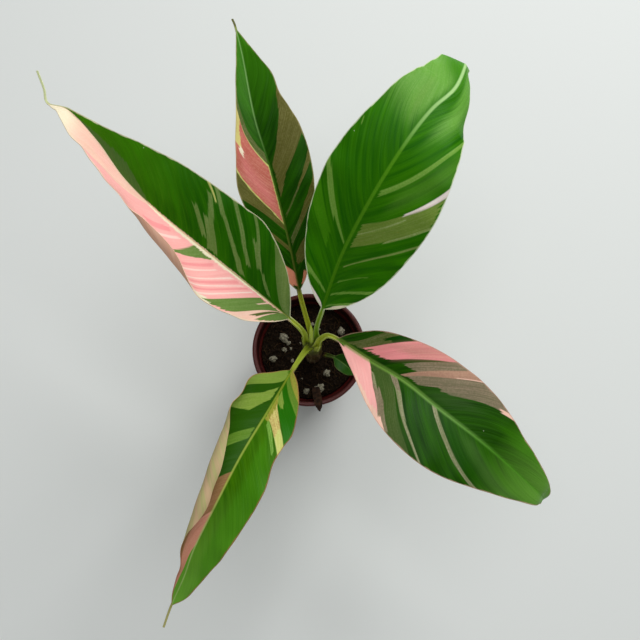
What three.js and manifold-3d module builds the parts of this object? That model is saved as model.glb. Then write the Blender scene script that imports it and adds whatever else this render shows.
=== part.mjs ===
// A young pink variegated banana in a small plastic nursery pot.
// Millimetres. X points right, Y points back, Z points up.
// The origin is the centre of the pot's underside.

import * as THREE from 'three';
import { mergeVertices } from 'three/addons/utils/BufferGeometryUtils.js';
import Module from 'manifold-3d';

const wasm = await Module();
wasm.setup();

// Driving dimensions of the pot
const POT_HEIGHT = 52;
const RIM_RADIUS = 29;
const BASE_RADIUS = 20.5;
const SHOULDER_HEIGHT = 43;
const SHOULDER_RADIUS = 25.8;
const BAND_RADIUS = 27.4;
const WALL = 1;
const FLOOR_THICKNESS = 1.2;
const POT_SEGMENTS = 40;
const DRAIN_HOLES = 6;
const DRAIN_RADIUS = 2.6;
const DRAIN_RING_RADIUS = 13.5;

// Driving dimensions of the soil and its grains
const GAP = 0.35;
const SOIL_EDGE_HEIGHT = 45;
const SOIL_DOME = 1.4;
const SOIL_RINGS = 6;
const SOIL_SEGMENTS = 32;
const CLOD_HEIGHT = 0.7;
const GRAIN_COUNT = 26;
const SEED = 20251;

// The large pale grains: where each lies, X and Y, and its size
const LARGE_GRAINS = [
  [-12, 6.5, 2.4], [4.5, -21, 2.3], [-17.5, -4, 1.8], [15.5, 9, 2], [8.5, -11.5, 1.9], [-2.5, -20.5, 1.6],
];

// Driving dimensions of the bark chip, which leans from the soil over the front of the rim:
// its heading round the pot, its slope, and where its middle is
const BARK_HEADING = THREE.MathUtils.degToRad(-80);
const BARK_SLOPE = THREE.MathUtils.degToRad(36);
const BARK_REACH = 25;
const BARK_HEIGHT = 50.8;

// Driving dimensions of the pseudostem, which leans a little towards the back.
// The tip of the next leaf stands rolled up in its top, and the leaf stalks stand round it on a shoulder.
const STEM_FOOT_HEIGHT = 22;
const STEM_FOOT_RADIUS = 4.4;
const STEM_SHOULDER_HEIGHT = 80;
const STEM_SHOULDER_RADIUS = 3.9;
const STEM_BASE_AT = new THREE.Vector2(2, -2.4);
const STEM_TOP_AT = new THREE.Vector2(1.6, -0.2);
const STEM_LEAN_END = 91;
const STEM_SEGMENTS = 20;
const ROLLED_TIP_HEIGHT = 102;
const ROLLED_TIP_RADIUS = 1;
const ROLLED_TIP_LEAN = 0.42;

// Driving dimensions shared by the leaves
const BLADE_HALF_THICKNESS = 0.38;
const RIB_HALF_WIDTH = { foot: 1.1, tip: 0.45 };
const RIB_DEPTH = { foot: 1.4, tip: 0.1 };
const CURL_POWER = 2;
const RIB_CROWDING = 1.15;
const RIB_REACH = 1.05;
const FINE_STEPS = 8;
const STRIPS_PER_SIDE = 5;
const PETIOLE_STEPS = 5;
const BLADE_STEPS = 20;
const FILAMENT_STEPS = 3;

// Each leaf has a midrib, as points from the foot of the stalk to the tip, the length of its bare
// stalk and of the thread at its tip, and stations along the blade, from 0 at its base to 1 at its tip.
// A station holds, for the left and for the right half seen from above along the midrib,
// the half's true width, its slope at the midrib in degrees and how much more it turns by the margin.
const LEAVES = {
  leaf_upper_left: {
    midrib: [
      [-0.9, -0.1, 81], [-2, 2.4, 95], [-6.5, 5.5, 107.5], [-25.5, 18.5, 127], [-48, 35.5, 141],
      [-71, 55, 147], [-94, 82, 147], [-102, 86, 146.5], [-103, 91, 149], [-104.5, 96.5, 153],
    ],
    petiole: 29.5,
    filament: 13,
    stations: [
      { at: 0, left: [0, 35, 0], right: [0, 35, 0] },
      { at: 0.06, left: [6.5, 30, 0], right: [7, 32, 0] },
      { at: 0.15, left: [14.5, 25, 10], right: [16, 30, -5] },
      { at: 0.28, left: [22, 20, 45], right: [24, 28, -10] },
      { at: 0.42, left: [23, 14, 135], right: [22.5, 28, -15] },
      { at: 0.56, left: [18, 20, 155], right: [20, 30, -15] },
      { at: 0.7, left: [12, 45, 70], right: [14, 32, -10] },
      { at: 0.85, left: [8, 52, 10], right: [5.5, 35, -5] },
      { at: 0.94, left: [6, 50, 0], right: [1.5, 40, 0] },
      { at: 1, left: [0, 40, 0], right: [0, 40, 0] },
    ],
  },
  leaf_upper_middle: {
    midrib: [
      [1.4, 1.9, 81], [0.8, 4.4, 91], [-3.5, 19, 102], [-7.5, 37.5, 113], [-14.5, 64.5, 127],
      [-21.5, 86.5, 133], [-27, 114, 133], [-30.5, 128.5, 131], [-32, 132.5, 131],
    ],
    petiole: 29.5,
    filament: 4.5,
    stations: [
      { at: 0, left: [0, 35, 0], right: [0, 35, 0] },
      { at: 0.06, left: [5, 30, 0], right: [5, 30, 0] },
      { at: 0.15, left: [8.5, 25, -5], right: [8.5, 25, -5] },
      { at: 0.28, left: [12.5, 18, -10], right: [13.5, 20, -15] },
      { at: 0.42, left: [15, 15, -10], right: [17, 20, -20] },
      { at: 0.56, left: [11.5, 15, -10], right: [17, 20, -20] },
      { at: 0.7, left: [6.5, 18, -5], right: [12.5, 20, -15] },
      { at: 0.85, left: [3.5, 20, 0], right: [6.5, 20, -5] },
      { at: 1, left: [0, 20, 0], right: [0, 20, 0] },
    ],
  },
  leaf_upper_right: {
    midrib: [
      [4.1, 0.5, 81], [4.1, 4.2, 96], [7, 11, 110], [15, 29, 129], [26, 46, 149],
      [37, 62, 160], [46.5, 75.5, 162], [56, 87, 158], [62.5, 99.5, 150], [65, 104.5, 138], [66, 106.5, 126],
    ],
    petiole: 30,
    filament: 0,
    stations: [
      { at: 0, left: [0, 30, 0], right: [0, 35, 0] },
      { at: 0.06, left: [7, 25, 0], right: [10.5, 30, 0] },
      { at: 0.15, left: [14, 18, -5], right: [20, 24, -5] },
      { at: 0.28, left: [20.5, 12, -12], right: [24.5, 14, -12] },
      { at: 0.42, left: [22.5, 8, -16], right: [23.5, 10, -16] },
      { at: 0.56, left: [19.5, 6, -18], right: [18, 6, -25] },
      { at: 0.7, left: [14.5, 8, -15], right: [12, -10, -40] },
      { at: 0.82, left: [9.5, 10, -10], right: [8.5, -50, -30] },
      { at: 0.92, left: [5, 10, 0], right: [5, -30, -20] },
      { at: 1, left: [0, 0, 0], right: [0, 0, 0] },
    ],
  },
  leaf_lower_right: {
    midrib: [
      [3.8, -2.9, 81], [6.3, -0.1, 91], [11.5, -0.5, 99], [25, -12, 111], [39.5, -22, 120],
      [52, -32.5, 125], [71.5, -47.5, 124], [92, -64.5, 115.5], [98, -69, 109], [100, -71, 103],
    ],
    petiole: 23,
    filament: 0,
    stations: [
      { at: 0, left: [0, 30, 0], right: [0, 30, 0] },
      { at: 0.06, left: [6, 28, 0], right: [3.5, 28, 0] },
      { at: 0.15, left: [13, 25, -5], right: [8, 25, -10] },
      { at: 0.28, left: [17, 20, -10], right: [17.5, 20, -18] },
      { at: 0.42, left: [18.5, 16, -12], right: [21.5, 18, -22] },
      { at: 0.56, left: [18, 14, -12], right: [22, 16, -22] },
      { at: 0.7, left: [14, 12, -15], right: [17, 14, -20] },
      { at: 0.85, left: [9, 12, -15], right: [9.5, 12, -15] },
      { at: 1, left: [0, 10, 0], right: [0, 10, 0] },
    ],
  },
  leaf_lower_left: {
    midrib: [
      [0.4, -3.2, 81], [-1.2, -5.6, 87], [-6, -14, 97], [-15.5, -32, 108], [-26, -51, 117],
      [-35, -69, 119], [-44.5, -87.5, 115], [-55.5, -112.5, 103], [-58.5, -121, 102],
    ],
    petiole: 22,
    filament: 9,
    stations: [
      { at: 0, left: [0, 35, 0], right: [0, 35, 0] },
      { at: 0.06, left: [6, 30, 0], right: [6.5, 30, 0] },
      { at: 0.15, left: [11.5, 25, -5], right: [15, 25, 35] },
      { at: 0.25, left: [15, 22, -8], right: [18, 18, 65] },
      { at: 0.36, left: [13.5, 22, -10], right: [18, 10, 130] },
      { at: 0.48, left: [15, 22, -10], right: [16.5, 10, 175] },
      { at: 0.6, left: [13.5, 22, -10], right: [13, 15, 130] },
      { at: 0.72, left: [12, 22, -8], right: [6.5, 30, 40] },
      { at: 0.86, left: [7, 20, -5], right: [3.2, 35, 10] },
      { at: 1, left: [0, 20, 0], right: [0, 35, 0] },
    ],
  },
  leaf_low_small: {
    midrib: [[7.6, -3.1, 54], [9, -3.8, 58.5], [13, -5.5, 61.5], [18.5, -9.5, 62.5], [23.5, -14, 59]],
    petiole: 9,
    filament: 0,
    stations: [
      { at: 0, left: [0, 30, 0], right: [0, 30, 0] },
      { at: 0.3, left: [4.5, 25, -5], right: [4.5, 25, -5] },
      { at: 0.65, left: [4, 20, -5], right: [4, 20, -5] },
      { at: 1, left: [0, 20, 0], right: [0, 20, 0] },
    ],
  },
};

// A repeatable random number between 0 and 1
let state = SEED;
function random() {
  state = (state * 16807) % 2147483647;
  return state / 2147483647;
}

function geometryOf(vertices, triangles) {
  const geometry = new THREE.BufferGeometry();
  geometry.setAttribute('position', new THREE.Float32BufferAttribute(vertices.flat(), 3));
  geometry.setIndex(triangles.flat());
  return geometry;
}

// A closed mesh as a solid that can be cut and joined
function solidOf(geometry) {
  const bare = geometry.clone();
  bare.deleteAttribute('normal');
  bare.deleteAttribute('uv');
  const merged = mergeVertices(bare, 1e-4);
  return new wasm.Manifold(new wasm.Mesh({
    numProp: 3,
    vertProperties: new Float32Array(merged.attributes.position.array),
    triVerts: new Uint32Array(merged.index.array),
  }));
}

function geometryOfSolid(solid) {
  const mesh = solid.getMesh();
  const geometry = new THREE.BufferGeometry();
  geometry.setAttribute('position', new THREE.BufferAttribute(new Float32Array(mesh.vertProperties), 3));
  geometry.setIndex(new THREE.BufferAttribute(new Uint32Array(mesh.triVerts), 1));
  return geometry;
}

// A profile of [radius, height] points turned round the Z axis
function turned(profile, segments) {
  const points = profile.map(([radius, height]) => new THREE.Vector2(radius, height));
  const geometry = new THREE.LatheGeometry(points, segments);
  geometry.rotateX(Math.PI / 2);
  return geometry;
}

function uprightCylinder(radius, height, segments, x, y, z) {
  const geometry = new THREE.CylinderGeometry(radius, radius, height, segments);
  geometry.rotateX(Math.PI / 2);
  geometry.translate(x, y, z + height / 2);
  return geometry;
}

// The pot's inner radius under the shoulder
function innerRadius(height) {
  return BASE_RADIUS - WALL + (SHOULDER_RADIUS - BASE_RADIUS) * (height / SHOULDER_HEIGHT);
}

// The pot is a tapered cup with a shoulder, a band above it and a rolled rim.
// Its floor is solid in the middle, with a ring of drain holes round it.
function potGeometry() {
  const profile = [
    [0, 0],
    [BASE_RADIUS - 0.8, 0],
    [BASE_RADIUS, 0.8],
    [SHOULDER_RADIUS, SHOULDER_HEIGHT],
    [BAND_RADIUS - 0.4, SHOULDER_HEIGHT + 1.2],
    [BAND_RADIUS, POT_HEIGHT - 3],
    [RIM_RADIUS - 0.5, POT_HEIGHT - 2.4],
    [RIM_RADIUS, POT_HEIGHT - 1.6],
    [RIM_RADIUS - 0.2, POT_HEIGHT - 0.4],
    [RIM_RADIUS - 0.9, POT_HEIGHT],
    [BAND_RADIUS - WALL + 0.4, POT_HEIGHT - 0.3],
    [BAND_RADIUS - WALL, POT_HEIGHT - 1.4],
    [BAND_RADIUS - WALL - 0.4, SHOULDER_HEIGHT + 1.6],
    [innerRadius(SHOULDER_HEIGHT), SHOULDER_HEIGHT + 0.4],
    [innerRadius(FLOOR_THICKNESS + 0.8), FLOOR_THICKNESS + 0.8],
    [innerRadius(FLOOR_THICKNESS) - 0.8, FLOOR_THICKNESS],
    [0, FLOOR_THICKNESS],
  ];
  let pot = solidOf(turned(profile, POT_SEGMENTS));
  for (let i = 0; i < DRAIN_HOLES; i += 1) {
    const angle = (2 * Math.PI * i) / DRAIN_HOLES;
    const x = DRAIN_RING_RADIUS * Math.cos(angle);
    const y = DRAIN_RING_RADIUS * Math.sin(angle);
    const hole = uprightCylinder(DRAIN_RADIUS, FLOOR_THICKNESS + 2, 12, x, y, -1);
    pot = pot.subtract(solidOf(hole));
  }
  return geometryOfSolid(pot);
}

// The height of the soil's top, which is a low dome
function soilHeight(radius) {
  const reach = radius / (innerRadius(SOIL_EDGE_HEIGHT) - GAP);
  return SOIL_EDGE_HEIGHT + SOIL_DOME * (1 - reach * reach);
}

// The soil fills the pot. Its top is a disc of rings with a clod of its own height at each point,
// and its stem hole is plain.
function soilGeometry() {
  const top = innerRadius(SHOULDER_HEIGHT) - GAP;
  const bottom = innerRadius(FLOOR_THICKNESS) - 0.8 - GAP;
  const vertices = [[0, 0, SOIL_EDGE_HEIGHT + SOIL_DOME]];
  for (let ring = 1; ring <= SOIL_RINGS; ring += 1) {
    const radius = (top * ring) / SOIL_RINGS;
    for (let k = 0; k < SOIL_SEGMENTS; k += 1) {
      const angle = (2 * Math.PI * (k + 0.5 * (ring % 2))) / SOIL_SEGMENTS;
      const clod = ring < SOIL_RINGS ? CLOD_HEIGHT * (2 * random() - 1) : 0;
      vertices.push([radius * Math.cos(angle), radius * Math.sin(angle), soilHeight(radius) + clod]);
    }
  }
  for (let k = 0; k < SOIL_SEGMENTS; k += 1) {
    const angle = (2 * Math.PI * k) / SOIL_SEGMENTS;
    vertices.push([bottom * Math.cos(angle), bottom * Math.sin(angle), FLOOR_THICKNESS + GAP]);
  }
  vertices.push([0, 0, FLOOR_THICKNESS + GAP]);
  const rowStart = (ring) => 1 + (ring - 1) * SOIL_SEGMENTS;
  const triangles = [];
  for (let k = 0; k < SOIL_SEGMENTS; k += 1) {
    const next = (k + 1) % SOIL_SEGMENTS;
    triangles.push([0, rowStart(1) + k, rowStart(1) + next]);
    for (let ring = 1; ring <= SOIL_RINGS; ring += 1) {
      const inner = rowStart(ring);
      const outer = rowStart(ring + 1);
      if (ring % 2 === 0) {
        triangles.push([inner + k, outer + k, inner + next]);
        triangles.push([inner + next, outer + k, outer + next]);
      } else {
        triangles.push([inner + k, outer + k, outer + next]);
        triangles.push([inner + k, outer + next, inner + next]);
      }
    }
    const last = vertices.length - 1;
    triangles.push([rowStart(SOIL_RINGS + 1) + k, last, rowStart(SOIL_RINGS + 1) + next]);
  }
  return geometryOf(vertices, triangles);
}

// One perlite grain: a squashed pebble with its root sunk in the soil
function grainGeometry(size, x, y, z) {
  const geometry = new THREE.IcosahedronGeometry(size, 0);
  geometry.deleteAttribute('normal');
  geometry.deleteAttribute('uv');
  geometry.rotateX(2 * Math.PI * random());
  geometry.rotateZ(2 * Math.PI * random());
  geometry.scale(1, 0.8 + 0.2 * random(), 0.75);
  geometry.translate(x, y, z);
  return geometry;
}

// Grains lie all over the soil, clear of the pot's wall and of the stem's hole: the large ones first,
// then smaller ones at random
function grainSolids() {
  const grains = [...LARGE_GRAINS];
  const reach = innerRadius(SOIL_EDGE_HEIGHT) - GAP;
  while (grains.length < GRAIN_COUNT) {
    const size = 0.8 + 0.8 * random();
    const radius = (reach - 2.5) * Math.sqrt(random());
    const angle = 2 * Math.PI * random();
    const x = radius * Math.cos(angle);
    const y = radius * Math.sin(angle);
    const fromStem = Math.hypot(x - STEM_BASE_AT.x, y - STEM_BASE_AT.y);
    const clear = grains.every(([gx, gy, other]) => Math.hypot(x - gx, y - gy) > size + other + 0.5);
    if (clear && fromStem > STEM_FOOT_RADIUS + size + 1) grains.push([x, y, size]);
  }
  return grains.map(([x, y, size]) => {
    const height = soilHeight(Math.hypot(x, y));
    return solidOf(grainGeometry(size, x, y, height));
  });
}

// A chip of bark lies on the soil's edge and over the rim
function barkChipGeometry() {
  const outline = new THREE.Shape();
  outline.moveTo(-11, -1.6);
  outline.lineTo(5, -2.2);
  outline.lineTo(9.5, 0.2);
  outline.lineTo(4, 2);
  outline.lineTo(-11, 1.5);
  outline.closePath();
  const geometry = new THREE.ExtrudeGeometry(outline, { depth: 1.2, bevelEnabled: false });
  geometry.rotateY(-BARK_SLOPE);
  geometry.translate(BARK_REACH, 0, BARK_HEIGHT);
  geometry.rotateZ(BARK_HEADING);
  return geometry;
}

function filledSoilGeometry() {
  let soil = solidOf(soilGeometry());
  grainSolids().forEach((grain) => {
    soil = soil.add(grain);
  });
  soil = soil.add(solidOf(barkChipGeometry()));
  const depth = STEM_FOOT_HEIGHT - GAP;
  const hole = uprightCylinder(
    STEM_FOOT_RADIUS + GAP, POT_HEIGHT, STEM_SEGMENTS, STEM_BASE_AT.x, STEM_BASE_AT.y, depth);
  return geometryOfSolid(soil.subtract(solidOf(hole)));
}

// Where the pseudostem's axis is at a height: upright in the soil, then leaning,
// with the rolled tip bent further back
function stemAxis(height) {
  const lean = THREE.MathUtils.clamp((height - POT_HEIGHT) / (STEM_LEAN_END - POT_HEIGHT), 0, 1);
  const axis = STEM_BASE_AT.clone().lerp(STEM_TOP_AT, lean);
  axis.y += ROLLED_TIP_LEAN * Math.max(0, height - STEM_LEAN_END);
  return axis;
}

// The pseudostem is a column of wrapped leaf bases, whose older ones end in two low steps
function stemGeometry() {
  const rise = STEM_SHOULDER_HEIGHT - POT_HEIGHT;
  const step = (STEM_FOOT_RADIUS - STEM_SHOULDER_RADIUS) / 2;
  const profile = [
    [0, STEM_FOOT_HEIGHT],
    [STEM_FOOT_RADIUS - 0.6, STEM_FOOT_HEIGHT],
    [STEM_FOOT_RADIUS, STEM_FOOT_HEIGHT + 2],
    [STEM_FOOT_RADIUS, POT_HEIGHT],
    [STEM_FOOT_RADIUS, POT_HEIGHT + 0.3 * rise],
    [STEM_FOOT_RADIUS - step, POT_HEIGHT + 0.35 * rise],
    [STEM_FOOT_RADIUS - step, POT_HEIGHT + 0.65 * rise],
    [STEM_SHOULDER_RADIUS, POT_HEIGHT + 0.7 * rise],
    [STEM_SHOULDER_RADIUS, STEM_SHOULDER_HEIGHT - 0.6],
    [STEM_SHOULDER_RADIUS - 0.5, STEM_SHOULDER_HEIGHT],
    [ROLLED_TIP_RADIUS, STEM_SHOULDER_HEIGHT],
    [ROLLED_TIP_RADIUS, STEM_LEAN_END],
    [0.75 * ROLLED_TIP_RADIUS, ROLLED_TIP_HEIGHT - 4],
    [0, ROLLED_TIP_HEIGHT],
  ];
  const column = turned(profile, STEM_SEGMENTS);
  const positions = column.attributes.position;
  for (let i = 0; i < positions.count; i += 1) {
    const axis = stemAxis(positions.getZ(i));
    positions.setXY(i, positions.getX(i) + axis.x, positions.getY(i) + axis.y);
  }
  return geometryOfSolid(solidOf(column));
}

// A smooth curve through values at uneven stations
function through(stations, pick, at) {
  const slope = (i) => {
    const before = stations[Math.max(i - 1, 0)];
    const after = stations[Math.min(i + 1, stations.length - 1)];
    return (pick(after) - pick(before)) / (after.at - before.at);
  };
  const last = stations.length - 2;
  const i = Math.min(stations.findLastIndex((station) => station.at <= at), last);
  const span = stations[i + 1].at - stations[i].at;
  const t = (at - stations[i].at) / span;
  const [from, to] = [pick(stations[i]), pick(stations[i + 1])];
  const bend = (2 * t - 3) * t * t;
  return (1 + bend) * from - bend * to
    + (t * t - 2 * t + 1) * t * span * slope(i)
    + (t - 1) * t * t * span * slope(i + 1);
}

// Half the width, the slope and the curl of one half of a leaf at a distance along its midrib
function halfOf(leaf, side, distance, length) {
  const blade = length - leaf.petiole - leaf.filament;
  const at = THREE.MathUtils.clamp((distance - leaf.petiole) / blade, 0, 1);
  const value = (k) => through(leaf.stations, (station) => station[side][k], at);
  const [width, slope, curl] = [0, 1, 2].map(value);
  const rib = THREE.MathUtils.lerp(RIB_HALF_WIDTH.foot, RIB_HALF_WIDTH.tip, distance / length);
  return {
    width: Math.max(width, rib),
    slope: THREE.MathUtils.degToRad(slope),
    curl: THREE.MathUtils.degToRad(curl),
  };
}

// The distances along the midrib at which the leaf has a section, closer together at the blade's ends
function sectionDistances(leaf, length) {
  const bladeEnd = length - leaf.filament;
  const distances = [];
  for (let i = 0; i < PETIOLE_STEPS; i += 1) distances.push((leaf.petiole * i) / PETIOLE_STEPS);
  for (let i = 0; i <= BLADE_STEPS; i += 1) {
    const even = i / BLADE_STEPS;
    const eased = (1 - Math.cos(Math.PI * even)) / 2;
    distances.push(THREE.MathUtils.lerp(leaf.petiole, bladeEnd, (even + eased) / 2));
  }
  for (let i = 1; leaf.filament > 0 && i <= FILAMENT_STEPS; i += 1) {
    distances.push(bladeEnd + (leaf.filament * i) / FILAMENT_STEPS);
  }
  return distances;
}

// The points of one half's section from the midrib outwards, in the section's own plane: how far
// across, how far up, the surface's turn there and the distance out along the surface.
// The half starts out at its slope and turns by its curl towards the margin.
function halfSection(half) {
  const points = [{ across: 0, up: 0, turn: half.slope, out: 0 }];
  let across = 0;
  let up = 0;
  let done = 0;
  for (let strip = 1; strip <= STRIPS_PER_SIDE; strip += 1) {
    const share = (strip / STRIPS_PER_SIDE) ** RIB_CROWDING;
    const step = ((share - done) * half.width) / FINE_STEPS;
    for (let k = 0; k < FINE_STEPS; k += 1) {
      const middle = done + ((share - done) * (k + 0.5)) / FINE_STEPS;
      const turn = half.slope + half.curl * middle ** CURL_POWER;
      across += Math.cos(turn) * step;
      up += Math.sin(turn) * step;
    }
    done = share;
    points.push({ across, up, turn: half.slope + half.curl * share ** CURL_POWER, out: share * half.width });
  }
  return points;
}

// The points above and below the leaf's skin at one distance along the midrib, from the left margin
// to the right one. Below, the skin is deeper round the midrib, which makes the rib and the stalk.
function leafSection(leaf, midrib, distance, length) {
  const along = distance / length;
  const centre = midrib.getPointAt(along);
  const forward = midrib.getTangentAt(along);
  const left = new THREE.Vector3(0, 0, 1).cross(forward).normalize();
  const up = forward.clone().cross(left);
  const ribDepth = THREE.MathUtils.lerp(RIB_DEPTH.foot, RIB_DEPTH.tip, along);
  const ribReach = RIB_REACH * THREE.MathUtils.lerp(RIB_HALF_WIDTH.foot, RIB_HALF_WIDTH.tip, along);
  const place = (side, point) => {
    const onSkin = centre.clone().addScaledVector(left, side * point.across).addScaledVector(up, point.up);
    const normal = up.clone().multiplyScalar(Math.cos(point.turn));
    normal.addScaledVector(left, -side * Math.sin(point.turn));
    if (point.out === 0) normal.copy(up);
    const share = Math.min(1, point.out / ribReach);
    const depth = BLADE_HALF_THICKNESS + ribDepth * (1 - share * share);
    return {
      above: onSkin.clone().addScaledVector(normal, BLADE_HALF_THICKNESS),
      below: onSkin.clone().addScaledVector(normal, -depth),
    };
  };
  const leftHalf = halfSection(halfOf(leaf, 'left', distance, length));
  const rightHalf = halfSection(halfOf(leaf, 'right', distance, length));
  const across = leftHalf.reverse().map((point) => place(1, point));
  return across.concat(rightHalf.slice(1).map((point) => place(-1, point)));
}

// A leaf is one closed skin: a grid of points above, the same grid below, walls along both margins
// and a cap at each end
function leafGeometry(leaf) {
  const points = leaf.midrib.map((point) => new THREE.Vector3(...point));
  const midrib = new THREE.CatmullRomCurve3(points, false, 'catmullrom', 0.5);
  midrib.arcLengthDivisions = 400;
  const length = midrib.getLength();
  const sections = sectionDistances(leaf, length)
    .map((distance) => leafSection(leaf, midrib, distance, length));
  const columns = 2 * STRIPS_PER_SIDE + 1;
  const vertices = sections.flat().flatMap((point) => [point.above.toArray(), point.below.toArray()]);
  const above = (row, column) => 2 * (row * columns + column);
  const below = (row, column) => above(row, column) + 1;
  const triangles = [];
  const quad = (a, b, c, d) => triangles.push([a, b, c], [a, c, d]);
  const lastRow = sections.length - 1;
  const lastColumn = columns - 1;
  for (let row = 0; row < lastRow; row += 1) {
    for (let column = 0; column < lastColumn; column += 1) {
      const [here, next] = [column, column + 1];
      quad(above(row, here), above(row, next), above(row + 1, next), above(row + 1, here));
      triangles.push([below(row, here), below(row + 1, next), below(row, next)]);
      triangles.push([below(row, here), below(row + 1, here), below(row + 1, next)]);
    }
    quad(above(row, 0), above(row + 1, 0), below(row + 1, 0), below(row, 0));
    const edge = [below(row, lastColumn), below(row + 1, lastColumn)];
    quad(...edge, above(row + 1, lastColumn), above(row, lastColumn));
  }
  for (let column = 0; column < lastColumn; column += 1) {
    quad(above(0, column), below(0, column), below(0, column + 1), above(0, column + 1));
    const end = [above(lastRow, column + 1), below(lastRow, column + 1)];
    quad(...end, below(lastRow, column), above(lastRow, column));
  }
  return geometryOf(vertices, triangles);
}

// Colours and finishes of the pieces
const MATERIALS = {
  pot: new THREE.MeshStandardMaterial({ color: 0x7a2f2a, roughness: 0.45, metalness: 0 }),
  soil: new THREE.MeshStandardMaterial({ color: 0x1c140e, roughness: 1, metalness: 0 }),
  pseudostem: new THREE.MeshStandardMaterial({ color: 0x7f9a2a, roughness: 0.5, metalness: 0 }),
  leaf_upper_left: new THREE.MeshStandardMaterial({ color: 0x5f8a45, roughness: 0.4, metalness: 0 }),
  leaf_upper_middle: new THREE.MeshStandardMaterial({ color: 0x2f5a1c, roughness: 0.4, metalness: 0 }),
  leaf_upper_right: new THREE.MeshStandardMaterial({ color: 0x3f8a1c, roughness: 0.35, metalness: 0 }),
  leaf_lower_right: new THREE.MeshStandardMaterial({ color: 0xc98a86, roughness: 0.4, metalness: 0 }),
  leaf_lower_left: new THREE.MeshStandardMaterial({ color: 0x4f9a1c, roughness: 0.4, metalness: 0 }),
  leaf_low_small: new THREE.MeshStandardMaterial({ color: 0x1f4a14, roughness: 0.4, metalness: 0 }),
};

function piece(name, geometry) {
  const mesh = new THREE.Mesh(geometry, MATERIALS[name]);
  mesh.name = name;
  return mesh;
}

const plant = new THREE.Group();
plant.add(piece('pot', potGeometry()));
plant.add(piece('soil', filledSoilGeometry()));
plant.add(piece('pseudostem', stemGeometry()));
Object.entries(LEAVES).forEach(([name, leaf]) => plant.add(piece(name, leafGeometry(leaf))));

export default plant;
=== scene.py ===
"""A young pink variegated banana in a small plastic nursery pot.

Metres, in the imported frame's axes: X points right, Y points back and Z points up.
"""
import math
import random

import bpy
import numpy as np
from mathutils import Matrix, Vector, noise


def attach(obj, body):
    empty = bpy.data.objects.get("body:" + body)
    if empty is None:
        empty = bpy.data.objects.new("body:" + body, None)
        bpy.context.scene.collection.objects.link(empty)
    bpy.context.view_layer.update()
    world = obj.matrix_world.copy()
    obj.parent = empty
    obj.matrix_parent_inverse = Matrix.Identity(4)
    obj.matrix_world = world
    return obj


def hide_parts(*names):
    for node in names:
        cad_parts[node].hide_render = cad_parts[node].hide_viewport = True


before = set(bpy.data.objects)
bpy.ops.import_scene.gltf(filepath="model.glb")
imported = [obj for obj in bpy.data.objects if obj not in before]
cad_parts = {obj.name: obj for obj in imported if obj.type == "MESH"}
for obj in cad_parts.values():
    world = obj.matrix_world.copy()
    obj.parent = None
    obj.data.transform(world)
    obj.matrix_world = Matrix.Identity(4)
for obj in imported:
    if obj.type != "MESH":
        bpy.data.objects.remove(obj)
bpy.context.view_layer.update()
MM = 0.001


# The camera, the floor and the light: a view from nearly straight above,
# a plain pale floor, and a wide soft light from the back right
CAMERA_PITCH = math.radians(9.5)
CAMERA_AT = (5.6 * MM, -44.2 * MM, 405.7 * MM)
CAMERA_LENS_MM = 39.375
CAMERA_SENSOR_MM = 36
CAMERA_NEAR = 0.01
FLOOR_SIZE = 4.0
FLOOR_COLOUR = "#e6e9e6"
SKY_COLOUR = "#f2f6f8"
SKY_STRENGTH = 0.2
CROWN_AT = (0, 0, 0.1)
LIGHT_WIDTH = 0.9
CEILING_LIGHT_AT = (0.1, 0.1, 1.3)
CEILING_LIGHT_WATTS = 6
WINDOW_LIGHT_AT = (0.55, 1.0, 1.0)
WINDOW_LIGHT_WATTS = 14


def shade(code):
    """A colour code of a screen as linear red, green, blue and alpha."""
    channels = [int(code[i:i + 2], 16) / 255 for i in (1, 3, 5)]
    linear = [c / 12.92 if c <= 0.04045 else ((c + 0.055) / 1.055) ** 2.4 for c in channels]
    return (*linear, 1.0)


def new_finish(name, roughness=0.5):
    """A material, its node tree and its Principled BSDF."""
    material = bpy.data.materials.new(name)
    material.use_nodes = True
    surface = material.node_tree.nodes["Principled BSDF"]
    surface.inputs["Roughness"].default_value = roughness
    return material, material.node_tree, surface


def soft_light(name, at, watts):
    """A square light that faces the plant's crown."""
    bpy.ops.object.light_add(type="AREA", location=at)
    lamp = bpy.context.object
    lamp.name = name
    lamp.data.size = LIGHT_WIDTH
    lamp.data.energy = watts
    lamp.rotation_euler = (Vector(CROWN_AT) - Vector(at)).to_track_quat("-Z", "Y").to_euler()


scene = bpy.context.scene
scene.view_settings.view_transform = "Standard"
bpy.ops.object.select_all(action="DESELECT")
bpy.ops.object.camera_add(location=CAMERA_AT, rotation=(CAMERA_PITCH, 0, 0))
scene.camera = bpy.context.object
scene.camera.data.lens = CAMERA_LENS_MM
scene.camera.data.sensor_width = CAMERA_SENSOR_MM
scene.camera.data.clip_start = CAMERA_NEAR

bpy.ops.mesh.primitive_plane_add(size=FLOOR_SIZE, location=(0, 0, 0))
floor = bpy.context.object
floor.name = "studio_floor"
floor_finish, _, surface = new_finish("pale studio floor", roughness=0.75)
surface.inputs["Base Color"].default_value = shade(FLOOR_COLOUR)
floor.data.materials.append(floor_finish)

scene.world = bpy.data.worlds.new("soft room light")
scene.world.use_nodes = True
room_light = scene.world.node_tree.nodes["Background"]
room_light.inputs["Color"].default_value = shade(SKY_COLOUR)
room_light.inputs["Strength"].default_value = SKY_STRENGTH
soft_light("ceiling_light", CEILING_LIGHT_AT, CEILING_LIGHT_WATTS)
soft_light("window_light", WINDOW_LIGHT_AT, WINDOW_LIGHT_WATTS)


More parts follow.
